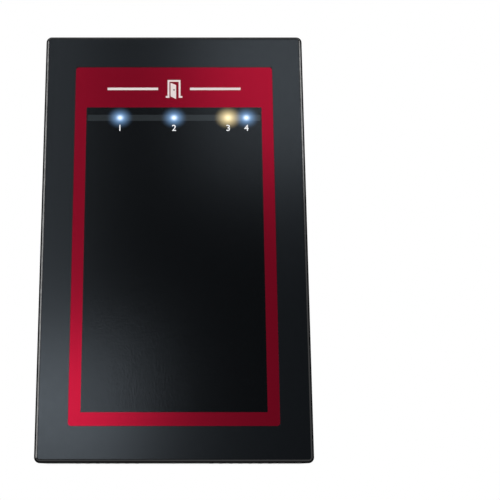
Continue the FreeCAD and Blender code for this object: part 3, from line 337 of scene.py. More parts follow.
def make_slot_looks():
    """One material for each of the record's slots, under the slot's name."""
    moulded("cover_plastic", (0.0005, 0.0007, 0.0011), 0.22, grain=0.30, depth=0.001, level=COVER_GLOSS,
            mottle=0.008, specular_tint=COOL)
    moulded("tray_plastic", (0.020, 0.021, 0.023), 0.60, depth=0.015, level=0.3)
    border_red()
    centre_black()
    light_smoke()
    metal("screw_steel", (0.25, 0.26, 0.275), 0.50)
    metal("clamp_steel", (0.30, 0.30, 0.30), 0.48)
    moulded("grommet_rubber", (0.018, 0.018, 0.018), 0.75, level=0.3)
    board_green()
    moulded("terminal_green", (0.022, 0.300, 0.090), 0.45)
    metal("jack_metal", (0.34, 0.35, 0.36), 0.46, stretch=(1.0, 1.0, 0.08))
    moulded("relay_blue", (0.010, 0.050, 0.270), 0.42, depth=0.004, level=0.25)
    moulded("switch_black", (0.016, 0.016, 0.018), 0.50, level=0.3)
    moulded("slider_white", (0.78, 0.78, 0.75), 0.40)
    moulded("button_red", (0.55, 0.03, 0.03), 0.40)
    moulded("plunger_white", (0.75, 0.75, 0.70), 0.40)
    moulded("ferrite", (0.030, 0.030, 0.034), 0.58, grain=0.15, level=0.3)
    moulded("winding_tape", (0.75, 0.52, 0.05), 0.32, depth=0.004)
    moulded("capacitor_sleeve", (0.022, 0.024, 0.040), 0.28, depth=0.002)
    moulded("varistor_blue", (0.030, 0.130, 0.380), 0.45)
    moulded("fuse_yellow", (0.80, 0.46, 0.05), 0.45)
    metal("sink_aluminium", (0.12, 0.12, 0.13), 0.45)
    moulded("pad_grey", (0.40, 0.44, 0.50), 0.80)
    moulded("chip_black", (0.014, 0.014, 0.015), 0.55, grain=0.12, level=0.3)
    moulded("module_board", (0.008, 0.022, 0.060), 0.35, depth=0.002)
    metal("shield_tin", (0.32, 0.32, 0.31), 0.54)
    metal("contact_tin", (0.36, 0.35, 0.33), 0.48)
    metal("cell_steel", (0.34, 0.34, 0.33), 0.50)
    moulded("lamp_white", (0.82, 0.80, 0.70), 0.30)


def make_other_looks():
    """Materials of the small pieces that have no slot of their own."""
    metal("solder", (0.32, 0.31, 0.29), 0.50)
    metal("gold", (0.46, 0.28, 0.08), 0.48)
    metal("copper", (0.72, 0.26, 0.11), 0.26)
    metal("aluminium", (0.32, 0.32, 0.33), 0.52, stretch=(0.15, 1.0, 1.0))
    moulded("ceramic", (0.36, 0.24, 0.13), 0.38, grain=0.1, depth=0.002)
    moulded("track_green", (0.014, 0.170, 0.062), 0.42, depth=0.002, level=0.2)
    moulded("print_white", (0.80, 0.81, 0.79), 0.55, depth=0.002)
    moulded("print_grey", (0.46, 0.47, 0.49), 0.50, depth=0.002)
    # Painted shade: a dark colour put in screw recesses, slots, scores and vents where only shade falls; also
    # the heading's dark printed knob
    moulded("painted_shade_and_dark_print", (0.004, 0.004, 0.004), 0.80, level=0.1)
    # Painted shade: a darker green for the grooves between a plug's poles
    moulded("groove_shade_green", (0.006, 0.090, 0.026), 0.55, level=0.2)
    moulded("polished_edge", (0.0010, 0.0012, 0.0016), 0.18, depth=0.0003)
    # Painted shade: a nearly unreflecting dark band over the outer side of the front's edge
    moulded("dark_edge_shade", (0.0010, 0.0011, 0.0013), 0.70, level=0.02)
    moulded("ink", (0.82, 0.83, 0.84), 0.50, depth=0.001, variation=0.02, level=0.2)
    moulded("pale_ink", (0.68, 0.61, 0.59), 0.50, depth=0.001, variation=0.02, level=0.2)
    for name, colour in (("lit_blue", (0.35, 0.60, 1.0)), ("lit_amber", AMBER_LIGHT)):
        Surface(name).set(
            base_color=(0.85, 0.80, 0.55), roughness=0.12, emission_color=colour, emission_strength=1.5,
        )


def dress_nodes():
    """Gives each CAD node the material of its slot."""
    for name, item in nodes.items():
        item.data.materials.clear()
        item.data.materials.append(LOOKS[SLOT_OF[name]])


def add_object(name, data, look=None):
    """A new object in the scene, with its material if it has one."""
    item = bpy.data.objects.new(name, data)
    scene.collection.objects.link(item)
    if look:
        data.materials.append(LOOKS[look])
    return item


def circle(count):
    """The cosines and sines of equal turns once round."""
    turns = [2 * math.pi * step / count for step in range(count)]
    return [(math.cos(turn), math.sin(turn)) for turn in turns]


def corners_of(x, z, width, length, turn=0.0):
    """The corners of a rectangle about x and z."""
    cosine, sine = math.cos(turn), math.sin(turn)
    halves = [(u * width / 2, v * length / 2) for u, v in ((-1, -1), (1, -1), (1, 1), (-1, 1))]
    return [(x + u * cosine - v * sine, z + u * sine + v * cosine) for u, v in halves]


def shifted(spot, amount, along_x):
    """A spot of x and z moved along one of the two."""
    x, z = spot
    return (x + amount, z) if along_x else (x, z + amount)


def beside(path, offset):
    """A path moved sideways, with its corners kept on the bisector."""
    points = [Vector(spot) for spot in path]
    moved = []
    for index, point in enumerate(points):
        before = (point - points[index - 1]).normalized() if index else None
        after = (points[index + 1] - point).normalized() if index + 1 < len(points) else before
        before = before or after
        middle = (before + after).normalized()
        across, square = (Vector((-way.y, way.x)) for way in (middle, before))
        moved.append(tuple(point + across * offset / max(MITRE_LIMIT, across.dot(square))))
    return moved


class Build:
    """Gathers one piece's mesh in millimetres: x to the right, h out from its floor, z up.

    The floor is a y in metres, and the board's face where none is given.
    """

    def __init__(self, floor=BOARD_Y):
        self.mesh = bmesh.new()
        self.floor = floor

    def point(self, x, h, z):
        return self.mesh.verts.new((x * MM, self.floor - h * MM, z * MM))

    def join(self, rings):
        """Faces between rings of points, where a ring of one point is a tip."""
        for lower, upper in zip(rings, rings[1:]):
            count = max(len(lower), len(upper))
            for index in range(count):
                after = (index + 1) % count
                if len(lower) == 1:
                    corners = (lower[0], upper[after], upper[index])
                elif len(upper) == 1:
                    corners = (lower[index], lower[after], upper[0])
                else:
                    corners = (lower[index], lower[after], upper[after], upper[index])
                self.mesh.faces.new(corners)

    def prism(self, outline, low, high, bevel=0.0):
        """A straight-sided solid on an outline of x and z pairs, with its front edges bevelled."""
        backs = [self.point(x, low, z) for x, z in outline]
        fronts = [self.point(x, high, z) for x, z in outline]
        self.join([backs, fronts])
        self.mesh.faces.new(backs[::-1])
        self.mesh.faces.new(fronts)
        if bevel:
            edges = list(dict.fromkeys(edge for vert in fronts for edge in vert.link_edges))
            bmesh.ops.bevel(self.mesh, geom=edges, offset=bevel * MM, segments=2, affect="EDGES", profile=0.5)

    def box(self, x, z, width, length, low, high, bevel=0.0, turn=0.0):
        self.prism(corners_of(x, z, width, length, turn), low, high, bevel)

    def cross(self, x, z, length, width, low, high, turn=0.0):
        """Two strokes that cross at right angles."""
        for quarter in (0, math.pi / 2):
            self.box(x, z, length, width, low, high, turn=turn + quarter)

    def turned(self, profile, count, place):
        """A profile of radius and height pairs turned about an axis; place says where a ring's points go."""
        rings = []
        for radius, height in profile:
            ring = circle(count) if radius else [(0, 0)]
            rings.append([self.point(*place(radius * u, radius * v, height)) for u, v in ring])
        self.join(rings)

    def lathe(self, x, z, profile, count=32):
        """Turns a profile of radius and height pairs about the board's normal."""
        self.turned(profile, count, lambda u, v, height: (x + u, height, z + v))

    def disc(self, x, z, radius, low, high):
        """A small dot on a face, a hair domed."""
        self.lathe(x, z, [(radius, low), (radius, high), (0, high + 0.002)], 20)

    def plated_ring(self, x, z, inner, outer, foot, count=12):
        """The plated ring round a hole in the board."""
        self.lathe(x, z, [(inner, 0.0), (inner, PLATING), (outer, PLATING), (foot, 0.0)], count)

    def tube(self, path, radius, count=10):
        """A round bar along a path of x, h and z."""
        points = [Vector(spot) for spot in path]
        rings, side = [], None
        for index, point in enumerate(points):
            ahead = (points[min(index + 1, len(points) - 1)] - points[max(index - 1, 0)]).normalized()
            side = (side - ahead * side.dot(ahead) if index else ahead.orthogonal()).normalized()
            up = ahead.cross(side)
            rings.append([self.point(*(point + radius * (side * u + up * v))) for u, v in circle(count)])
        self.join([[self.point(*points[0])], *rings, [self.point(*points[-1])]])

    def ribbon(self, path, width, low, high):
        """A flat band along a path of x and z pairs, mitred at its corners."""
        left, right = beside(path, width / 2), beside(path, -width / 2)
        for index in range(len(path) - 1):
            self.prism([left[index], right[index], right[index + 1], left[index + 1]], low, high)

    def outline(self, solid, gap, width, low, high):
        """A line round a solid, that far outside it, without the sides that run off the board."""
        corners = corners_of(solid.x, solid.z, solid.width + 2 * gap, solid.length + 2 * gap)
        for start, end in zip(corners, corners[1:] + corners[:1]):
            if max(abs(start[0]), abs(end[0])) < BOARD[1].x / MM:
                self.ribbon([start, end], width, low, high)

    def done(self, name, look, body="base", slot=None, replaces=(), angle=35):
        """Turns what was gathered into a piece that rides on a body, in the given look."""
        bmesh.ops.recalc_face_normals(self.mesh, faces=self.mesh.faces)
        mesh = bpy.data.meshes.new(name)
        self.mesh.to_mesh(mesh)
        self.mesh.free()
        mesh.polygons.foreach_set("use_smooth", [True] * len(mesh.polygons))
        mesh.set_sharp_from_angle(angle=math.radians(angle))
        item = add_object(name, mesh, look)
        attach(item, body)
        if replaces:
            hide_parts(*replaces)


Solid = namedtuple("Solid", "x z width length low high")


def solids_of(name):
    """The separate solids of a node, from left to right, in millimetres on the board's face."""
    mesh = nodes[name].data
    spots = {}
    spot_of = [spots.setdefault(tuple(round(c * 1e6) for c in v.co), len(spots)) for v in mesh.vertices]
    leader = list(range(len(spots)))

    def top(spot):
        while leader[spot] != spot:
            leader[spot] = leader[leader[spot]]
            spot = leader[spot]
        return spot

    for polygon in mesh.polygons:
        first, *others = (spot_of[index] for index in polygon.vertices)
        for other in others:
            leader[top(other)] = top(first)
    groups = {}
    for place, spot in spots.items():
        groups.setdefault(top(spot), []).append([c / 1e3 for c in place])
    found = []
    for places in groups.values():
        x, y, z = ([min(axis), max(axis)] for axis in zip(*places))
        floor = BOARD_Y / MM
        found.append(
            Solid(sum(x) / 2, sum(z) / 2, x[1] - x[0], z[1] - z[0], floor - y[1], floor - y[0])
        )
    return sorted(found, key=lambda solid: (round(solid.x, 1), round(solid.z, 1)))


class Room:
    """Which cells of the board's face are still free."""

    def __init__(self):
        self.corner = (BOARD[0].x / MM, BOARD[0].z / MM)
        size = ((BOARD[1].x - BOARD[0].x) / MM, (BOARD[1].z - BOARD[0].z) / MM)
        self.free = np.ones((int(size[0] / CELL), int(size[1] / CELL)), bool)

    def window(self, x, z, width, length):
        starts = [(x - width / 2 - self.corner[0]) / CELL, (z - length / 2 - self.corner[1]) / CELL]
        ends = [(x + width / 2 - self.corner[0]) / CELL, (z + length / 2 - self.corner[1]) / CELL]
        return [math.floor(start) for start in starts], [math.ceil(end) for end in ends]

    def is_free(self, x, z, width, length):
        (left, foot), (right, top) = self.window(x, z, width, length)
        columns, rows = self.free.shape
        if min(left, foot, columns - right, rows - top) < EDGE_CELLS:
            return False
        return bool(self.free[left:right, foot:top].all())

    def take(self, x, z, width, length):
        (left, foot), (right, top) = self.window(x, z, width, length)
        self.free[max(left, 0):max(right, 0), max(foot, 0):max(top, 0)] = False


def board_room():
    """The board's free room, with every part that stands on it marked."""
    room = Room()
    for name in frame["record"]["behaviour"]["bodies"]["base"]:
        if name in OFF_BOARD:
            continue
        for solid in solids_of(name):
            if solid.low < STANDS_BELOW and solid.high > 0:
                room.take(solid.x, solid.z, solid.width + CLEARANCE, solid.length + CLEARANCE)
    return room


def somewhere(rng):
    """A random spot on the board."""
    return [rng.uniform(*span) for span in PLACING]


def add_small_parts(room, rng):
    """Rows of small resistors and ceramic capacitors, placed where the board is free."""
    bodies = {kind: Build() for kind in PART_HEIGHTS}
    ends, pads = Build(), Build()
    body_share, end_share, pad_share = 0.62, 0.24, 0.40
    end_place, pad_place = 0.40, 0.48
    rows = 0
    for _ in range(PART_TRIES):
        if rows == PART_ROWS:
            break
        kind = rng.choice(("resistors", "capacitors"))
        count = rng.randint(2, 6)
        across = rng.random() < 0.5
        length, width = rng.choice(PART_SIZES)
        x, z = somewhere(rng)
        step = width + PART_GAP
        run = (count - 1) * step
        reach = (length + END_MARGIN, run + width + SIDE_MARGIN)
        if not across:
            reach = reach[::-1]
        if not room.is_free(x, z, *reach):
            continue
        room.take(x, z, *reach)
        rows += 1
        turn = 0.0 if across else math.pi / 2
        height = PART_HEIGHTS[kind]
        for index in range(count):
            spot = shifted((x, z), index * step - run / 2, not across)
            bodies[kind].box(*spot, length * body_share, width, 0.08, height, 0.04, turn)
            for side in (-1, 1):
                end = shifted(spot, side * length * end_place, across)
                ends.box(*end, length * end_share, width + 0.04, 0.05, height + 0.03, 0.04, turn)
                pad = shifted(spot, side * length * pad_place, across)
                pads.box(*pad, length * pad_share, width + 0.3, 0.0, 0.07, 0.0, turn)
    bodies["resistors"].done("small_resistors", "chip_black")
    bodies["capacitors"].done("small_capacitors", "ceramic")
    ends.done("small_part_ends", "contact_tin")
    pads.done("small_part_pads", "solder")


def add_tracks(room, rng):
    """Bundles of copper tracks under the green mask, each track with a plated hole at both ends."""
    tracks, holes = Build(), Build()
    for _ in range(TRACK_TRIES):
        count = rng.choice(TRACK_COUNTS)
        wide = count * TRACK_PITCH + 0.5
        heading = rng.choice((0, 2, 4, 6))
        x, z = somewhere(rng)
        path = [(x, z)]
        cells = []
        for step in range(rng.randint(*TRACK_STEPS)):
            dx, dz = COMPASS[heading]
            spot = (x + dx * CELL, z + dz * CELL)
            if not room.is_free(*spot, wide, wide):
                break
            x, z = spot
            cells.append(spot)
            if step > STRAIGHT_START and rng.random() < BEND_CHANCE * min(1, (step - STRAIGHT_START) / 4):
                path.append(spot)
                heading = (heading + rng.choice((-1, 1))) % 8
        if len(cells) < SHORTEST_TRACK:
            continue
        if cells[-1] != path[-1]:
            path.append(cells[-1])
        for spot in cells:
            room.take(*spot, wide, wide)
        for index in range(count):
            line = beside(path, (index - (count - 1) / 2) * TRACK_PITCH)
            tracks.ribbon(line, TRACK_WIDTH, 0.0, TRACK_HEIGHT)
            for spot in (line[0], line[-1]):
                holes.plated_ring(*spot, *VIA)
    tracks.done("board_tracks", "track_green")
    holes.done("board_vias", "solder")


def add_board_edge_details():
    """Plated rings at the fixings with a dark cross of painted shade for each screw's driver recess, and rows
    of stitching holes along the board's edges.
    """
    rings, crosses = Build(), Build()
    for solid in solids_of("board_screws"):
        rings.plated_ring(solid.x, solid.z, *FIXING, 48)
        # A dark cross of painted shade where the driver recess would be
        crosses.cross(solid.x, solid.z, 3.0, 0.7, solid.high - 0.05, solid.high + 0.012, DIAGONAL)
    side = BOARD[1].x / MM - STITCH_INSET
    foot, top = BOARD[0].z / MM + STITCH_INSET, BOARD[1].z / MM - STITCH_INSET
    spots = []
    for step in range(SIDE_STITCHES + 1):
        z = foot + (top - foot) * step / SIDE_STITCHES
        spots += [(-side, z), (side, z)]
    for step in range(1, END_STITCHES):
        x = side * (2 * step / END_STITCHES - 1)
        spots += [(x, foot), (x, top)]
    for spot in spots:
        rings.plated_ring(*spot, *STITCH)
    rings.done("board_rings", "solder")
    crosses.done("screw_cross_shades", "painted_shade_and_dark_print")


def add_board_print():
    """White outlines round the parts, and pole numbers beside the terminals."""
    lines = Build()
    for name in (
        "lock_relays", "processor_shield", "network_jack", "transformer_core", "selector_bodies",
        "tamper_switch", "reset_switch", "logic_chips", "reader_1_header", "reader_2_header",
        "lock_1_header", "lock_2_header", "power_header", "wireless_module",
    ):
        for solid in solids_of(name):
            lines.outline(solid, PRINT_GAP, PRINT_LINE, PRINT_LOW, PRINT_HIGH)
    for name in ("supply_capacitors", "supply_inductors", "battery_holder"):
        for solid in solids_of(name):
            radius = solid.width / 2 + PRINT_GAP
            inner, outer = radius - PRINT_LINE / 2, radius + PRINT_LINE / 2
            rim = [(inner, PRINT_LOW), (inner, PRINT_HIGH), (outer, PRINT_HIGH), (outer, PRINT_LOW)]
            lines.lathe(solid.x, solid.z, rim, 48)
            if name != "supply_inductors":
                spot = (solid.x - radius * 0.8, solid.z + radius * 0.8)
                lines.cross(*spot, 1.2, 0.2, PRINT_LOW, PRINT_HIGH)
    lines.done("board_print", "print_white")
    for terminal, count in (("reader_1", 7), ("reader_2", 7), ("lock_1", 6), ("lock_2", 6)):
        header = solids_of(f"{terminal}_header")[0]
        inward = -1 if header.x > 0 else 1
        text = "\n".join(str(number) for number in range(1, count + 1))
        x = header.x + inward * (header.width / 2 + NUMBER_GAP)
        place = (x, header.z, BOARD_Y - PRINT_MIDDLE * MM)
        add_text(f"{terminal}_numbers", text, *place, POLE_NUMBER, "print_white", "base", line=TERMINAL_PITCH)


def add_text(name, text, x, z, depth, height, look, body, line=None, weight=0.0):
    """Plain numerals centred at x and z, standing a hair proud of the face at that depth."""
    curve = bpy.data.curves.new(name, "FONT")
    curve.body = text
    curve.size = height / DIGIT_SHARE * MM
    curve.align_x = "CENTER"
    curve.align_y = "CENTER"
    curve.offset = weight * MM
    curve.extrude = DIGIT_THICKNESS * MM
    if line:
        curve.space_line = line * MM / curve.size
    item = add_object(name, curve, look)
    upright = Matrix.Rotation(math.radians(90), 4, "X")
    item.matrix_world = Matrix.Translation((x * MM, depth, z * MM)) @ upright
    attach(item, body)


def add_chip_leads():
    """Bent leads along both sides of each logic chip, and a dot at its first lead."""
    leads, dots = Build(), Build()
    pitch, rise, foot = 0.95, 0.85, 0.08
    for solid in solids_of("logic_chips"):
        side = solid.width / 2
        profile = [(side - 0.1, rise), (side + 0.25, rise), (side + 0.45, foot), (side + 0.95, foot)]
        for index in range(-2, 3):
            z = solid.z + index * pitch
            for sign in (-1, 1):
                leads.tube([(solid.x + sign * x, h, z) for x, h in profile], 0.15, 6)
                leads.box(solid.x + sign * (side + 0.75), z, 0.9, 0.55, 0.0, 0.06)
        corner = (solid.x - side + 0.9, solid.z + solid.length / 2 - 0.9)
        dots.disc(*corner, 0.3, solid.high - 0.01, solid.high + 0.01)
    leads.done("chip_leads", "contact_tin")
    dots.done("chip_dots", "print_grey")


def add_capacitors():
    """Aluminium capacitors: a printed sleeve shrunk over the can, whose scored top shows, with painted shade
    along the scores.
    """
    sleeves, tops, stripes, grooves = Build(), Build(), Build(), Build()
    for solid in solids_of("supply_capacitors"):
        spot = (solid.x, solid.z)
        radius, high = solid.width / 2, solid.high
        sleeves.lathe(*spot, [
            (radius - 0.5, 0.05), (radius - 0.15, 0.2), (radius, 0.8), (radius, 2.2), (radius - 0.35, 2.7),
            (radius - 0.35, 3.0), (radius, 3.5), (radius, high - 0.9), (radius - 0.25, high - 0.3),
            (radius - 0.7, high), (radius - 1.3, high), (radius - 1.4, high - 0.35),
        ], 48)
        tops.lathe(*spot, [(radius - 1.2, high - 0.45), (radius - 1.6, high - 0.2), (0, high - 0.2)], 48)
        # Painted shade: dark crosses along the scores of each top
        grooves.cross(*spot, (radius - 1.9) * 2, 0.16, high - 0.25, high - 0.185, DIAGONAL)
        inner, skin = radius - 0.3, radius + 0.02
        for start in range(5):
            first, second = (math.pi + (start - 2.5 + step) * 0.16 for step in (0, 1))
            outline = []
            for reach, turn in ((inner, first), (skin, first), (skin, second), (inner, second)):
                outline.append((solid.x + reach * math.cos(turn), solid.z + reach * math.sin(turn)))
            stripes.prism(outline, 3.8, high - 1.2)
    sleeves.done("capacitor_sleeves", "capacitor_sleeve", replaces=["supply_capacitors"])
    tops.done("capacitor_tops", "aluminium", angle=20)
    grooves.done("capacitor_score_shades", "painted_shade_and_dark_print")
    stripes.done("capacitor_stripes", "print_grey")


def add_inductors():
    """Drum-core inductors: ferrite flanges with copper turns between them."""
    cores, turns = Build(), Build()
    count = 6
    ring = circle(10)
    ring.append(ring[0])
    for solid in solids_of("supply_inductors"):
        radius, high = solid.width / 2, solid.high
        cores.lathe(solid.x, solid.z, [
            (0, 0.02), (radius - 0.2, 0.02), (radius, 0.3), (radius, 1.0), (radius - 0.2, 1.2),
            (radius - 1.4, 1.2), (radius - 1.4, high - 1.4), (radius - 0.1, high - 1.4),
            (radius, high - 1.2), (radius, high - 0.6), (radius - 0.6, high), (1.4, high),
            (1.2, high - 0.3), (0, high - 0.3),
        ], 48)
        pitch = (high - 2.6) / count
        for index in range(count):
            middle = 1.2 + pitch * (index + 0.5)
            profile = [(radius - 1.0 + 0.5 * pitch * u, middle + 0.5 * pitch * v) for u, v in ring]
            turns.lathe(solid.x, solid.z, profile, 48)
    cores.done("inductor_cores", "ferrite", replaces=["supply_inductors"])
    turns.done("inductor_turns", "copper")


def add_transformer_details():
    """Pins, lead-out wires and the tape's lap on the transformer."""
    core = solids_of("transformer_core")[0]
    winding = solids_of("transformer_winding")[0]
    pins, wires, tape = Build(), Build(), Build()
    pitch, pin, height = 3.4, 0.7, 3.4
    for side in (-1, 1):
        z = winding.z + side * (winding.length / 2 + 0.9)
        for index in range(4):
            x = core.x + (index - 1.5) * pitch
            pins.box(x, z, pin, pin, 0.0, height, 0.12)
            pins.lathe(x, z, [(0.95, 0.0), (0.8, 0.35), (0.45, 0.6)], 16)
            inner = z - side * 1.4
            wires.tube([(x, 2.4, z), (x, 3.2, z - side * 0.3), (x, 4.6, inner), (x, 5.6, inner)], 0.22, 8)
    high = winding.high
    tape.box(winding.x + 2.6, winding.z, 1.1, winding.length - 2.4, high - 0.3, high + 0.04, 0.03)
    pins.done("transformer_pins", "contact_tin")
    wires.done("transformer_wires", "copper")
    tape.done("transformer_tape_lap", "winding_tape")


def add_jack_details():
    """Moulded lining, eight spring contacts, two light windows and pressed springs of the network jack."""
    jack = solids_of("network_jack")[0]
    foot = jack.z - jack.length / 2
    lining, contacts, windows, springs = Build(), Build(), Build(), Build()
    low, high = 1.9, 9.9
    middle, depth = foot + 5.2, 9.6
    pitch = 1.02
    lining.box(jack.x, foot + 12.4, 11.7, 5.0, low, high)
    lining.box(jack.x, middle, 10.2, depth, low - 0.05, low + 0.4)
    for index in range(8):
        x = jack.x + (index - 3.5) * pitch
        path = [(x, 8.6, foot + 10.4), (x, 8.9, foot + 9.0), (x, 6.2, foot + 3.2), (x, 6.6, foot + 2.6)]
        contacts.tube(path, 0.2, 8)
    for side in (-1, 1):
        lining.box(jack.x + side * 5.45, middle, 0.8, depth, low, high, 0.1)
        windows.box(jack.x + side * 5.2, foot + 0.06, 2.6, 0.2, 10.9, 12.5, 0.05)
        springs.box(jack.x + side * 3.6, jack.z - 3.0, 2.2, 6.0, jack.high - 0.1, jack.high + 0.06, 0.05)
        springs.box(jack.x + side * (jack.width / 2), jack.z + 1.0, 0.12, 5.0, 3.5, 9.0, 0.03)
    lining.done("jack_lining", "switch_black")
    contacts.done("jack_contacts", "gold")
    windows.done("jack_windows", "lit_amber")
    springs.done("jack_springs", "jack_metal")


def add_plug_details():
    """Wire cages in each plug's wire holes, painted shade in its screws' slots and dark green lines of
    painted shade between its poles.
    """
    inset, wide, thin, half = 2.2, 2.6, 0.5, 1.35
    for terminal in ("reader_1", "reader_2", "lock_1", "lock_2", "power"):
        plug = solids_of(f"{terminal}_plug")[0]
        screws = solids_of(f"{terminal}_clamp_screws")
        along_x = terminal == "power"
        cages, groove_shades, slots = Build(), Build(), Build()
        for screw in screws:
            if along_x:
                cage = (screw.x, plug.z - inset, wide, thin)
            else:
                cage = (plug.x + math.copysign(inset, plug.x), screw.z, thin, wide)
            cages.box(*cage, WIRE_HEIGHT - half, WIRE_HEIGHT + half, 0.15)
            size = SCREW_SLOT[::-1] if along_x else SCREW_SLOT
            # Painted shade on the floor of each screw's slot
            slots.box(screw.x, screw.z, *size, screw.high - 0.5, screw.high - 0.35)
        # Dark green lines of painted shade where the grooves between the poles fall
        for first, second in zip(screws, screws[1:]):
            x, z = (first.x + second.x) / 2, (first.z + second.z) / 2
            size = (0.3, plug.length - 1.6) if along_x else (plug.width - 1.6, 0.3)
            groove_shades.box(x, z, *size, plug.high - 0.05, plug.high + 0.015)
        body = f"{terminal}_terminal"
        cages.done(f"{terminal}_wire_cages", "clamp_steel", body)
        groove_shades.done(f"{terminal}_joins", "groove_shade_green", body)
        slots.done(f"{terminal}_screw_slot_shades", "painted_shade_and_dark_print", body)


def add_lamp_details():
    """A clear dome over each lamp's phosphor, and its two solder ends."""
    domes = {BLUE_LIGHT: Build(), AMBER_LIGHT: Build()}
    ends = Build()
    for solid, lamp in zip(solids_of("indicator_lights"), LAMPS):
        high = solid.high
        domes[lamp.colour].lathe(solid.x, solid.z, [
            (1.05, high - 0.2), (1.05, high + 0.02), (0.8, high + 0.2), (0.4, high + 0.3), (0, high + 0.33),
        ], 28)
        for side in (-1, 1):
            ends.box(solid.x + side * (solid.width / 2), solid.z, 0.9, solid.length * 0.7, 0.0, 0.5, 0.05)
    domes[BLUE_LIGHT].done("blue_lamp_domes", "lit_blue")
    domes[AMBER_LIGHT].done("amber_lamp_domes", "lit_amber")
    ends.done("lamp_ends", "contact_tin")


def add_switch_details():
    """The reset switch's rivets and ring, and the legs of all four switches."""
    plates, legs = Build(), Build()
    reset = solids_of("reset_switch")[0]
    half, high = reset.width / 2, reset.high
    for spot in corners_of(reset.x, reset.z, reset.width - 1.8, reset.width - 1.8):
        plates.lathe(*spot, [(0.45, high), (0.45, high + 0.12), (0.25, high + 0.22), (0, high + 0.22)], 16)
    plates.lathe(reset.x, reset.z, [(1.95, high), (1.95, high + 0.1), (2.45, high + 0.1), (2.45, high)], 32)
    for u in (-1, 1):
        for z in (reset.z - 1.6, reset.z + 1.6):
            path = [(half - 0.1, 1.6), (half + 0.5, 1.5), (half + 0.6, 0.05)]
            legs.tube([(reset.x + u * out, h, z) for out, h in path], 0.3, 8)
    tamper = solids_of("tamper_switch")[0]
    rows = [(index, side) for index in (-1, 0, 1) for side in (-1, 1)]
    for index, side in rows:
        z = tamper.z + side * (tamper.length / 2 + 0.3)
        legs.box(tamper.x + index * 4.6, z, 0.9, 0.5, 0.0, 1.6, 0.08)
    for solid in solids_of("selector_bodies"):
        for index, side in rows:
            x = solid.x + side * (solid.width / 2 + 0.35)
            legs.box(x, solid.z + index * 2.5, 0.7, 0.6, 0.0, 0.9, 0.08)
    plates.done("reset_plate", "shield_tin")
    legs.done("switch_legs", "contact_tin")


def add_wireless_details():
    """Meander aerial at the module's free end and plated pads over its long edges."""
    module = solids_of("wireless_module")[0]
    can = solids_of("wireless_shield")[0]
    aerial, pads = Build(), Build()
    left = can.x + can.width / 2 + 0.9
    right = module.x + module.width / 2 - 0.9
    ends = (module.z + 6.6, module.z - 6.6)
    bends = 5
    path = []
    for index in range(bends + 1):
        x = left + (right - left) * index / bends
        path += [(x, z) for z in (ends[::-1] if index % 2 else ends)]
    aerial.ribbon(path, 0.55, module.high, module.high + 0.04)
    pitch = 1.5
    for index in range(10):
        x = module.x - module.width / 2 + 1.6 + index * pitch
        for side in (-1, 1):
            pads.box(x, module.z + side * (module.length / 2 + 0.05), 0.9, 0.9, 0.0, module.high + 0.05, 0.04)
    aerial.done("aerial", "gold")
    pads.done("wireless_pads", "gold")


def add_shield_details():
    """Dark dots of painted shade for the vents of the processor's shield, and a pressed frame on that and the
    small one.
    """
    holes, frames = Build(), Build()
    shield = solids_of("processor_shield")[0]
    for u in range(-4, 5):
        for v in (-1, 1):
            spot = (shield.x + u * 3.8, shield.z + v * (shield.length / 2 - 2.6))
            holes.disc(*spot, 0.55, shield.high - 0.02, shield.high + 0.012)
    for name, inset in (("processor_shield", 5.2), ("wireless_shield", 1.8)):
        solid = solids_of(name)[0]
        frames.outline(solid, -inset, 0.35, solid.high - 0.05, solid.high + 0.05)
    holes.done("shield_hole_shades", "painted_shade_and_dark_print")
    frames.done("shield_frames", "shield_tin")


def add_cell_details():
    """Turned step and plus sign on the coin cell."""
    cell = solids_of("coin_cell")[0]
    marks = Build()
    radius, low, high = cell.width / 2, cell.high - 0.02, cell.high + 0.03
    step = [(radius - 1.5, low), (radius - 1.4, high), (radius - 1.2, high), (radius - 1.1, low)]
    marks.lathe(cell.x, cell.z, step, 64)
    marks.cross(cell.x, cell.z + 5.4, 2.4, 0.4, low, high)
    marks.done("cell_marks", "cell_steel")


def add_dipped_discs():
    """Varistors and fuses as dipped discs: thick in the middle, thin at the rim, on two wire legs."""
    for name, piece, look in (
        ("surge_varistors", "varistor_discs", "varistor_blue"),
        ("resettable_fuses", "fuse_discs", "fuse_yellow"),
    ):
        discs, legs = Build(), Build()
        for solid in solids_of(name):
            thickness = min(solid.width, solid.length)
            radius = max(solid.width, solid.length) / 2
            sideways = solid.width < solid.length
            add_lens(discs, solid, radius, thickness, sideways)
            for side in (-1, 1):
                x, z = shifted((solid.x, solid.z), side * radius * 0.5, not sideways)
                legs.tube([(x, 0.0, z), (x, 1.8, z)], 0.3, 8)
                legs.lathe(x, z, [(0.8, 0.0), (0.6, 0.3), (0.3, 0.5)], 14)
        discs.done(piece, look, replaces=[name], angle=60)
        legs.done(f"{piece}_legs", "contact_tin")


def add_lens(build, solid, radius, thickness, sideways):
    """A lens standing on its rim on the board, with its axis along x if it is sideways, otherwise z."""
    half = [(0.97, 0.15), (0.85, 0.38), (0.55, 0.49), (0, 0.5)]
    profile = [(share, -depth) for share, depth in half[::-1]] + half

    def place(across, rise, along):
        x, z = (along, across) if sideways else (across, along)
        return solid.x + x, radius + rise, solid.z + z

    build.turned([(share * radius, depth * thickness) for share, depth in profile], 36, place)


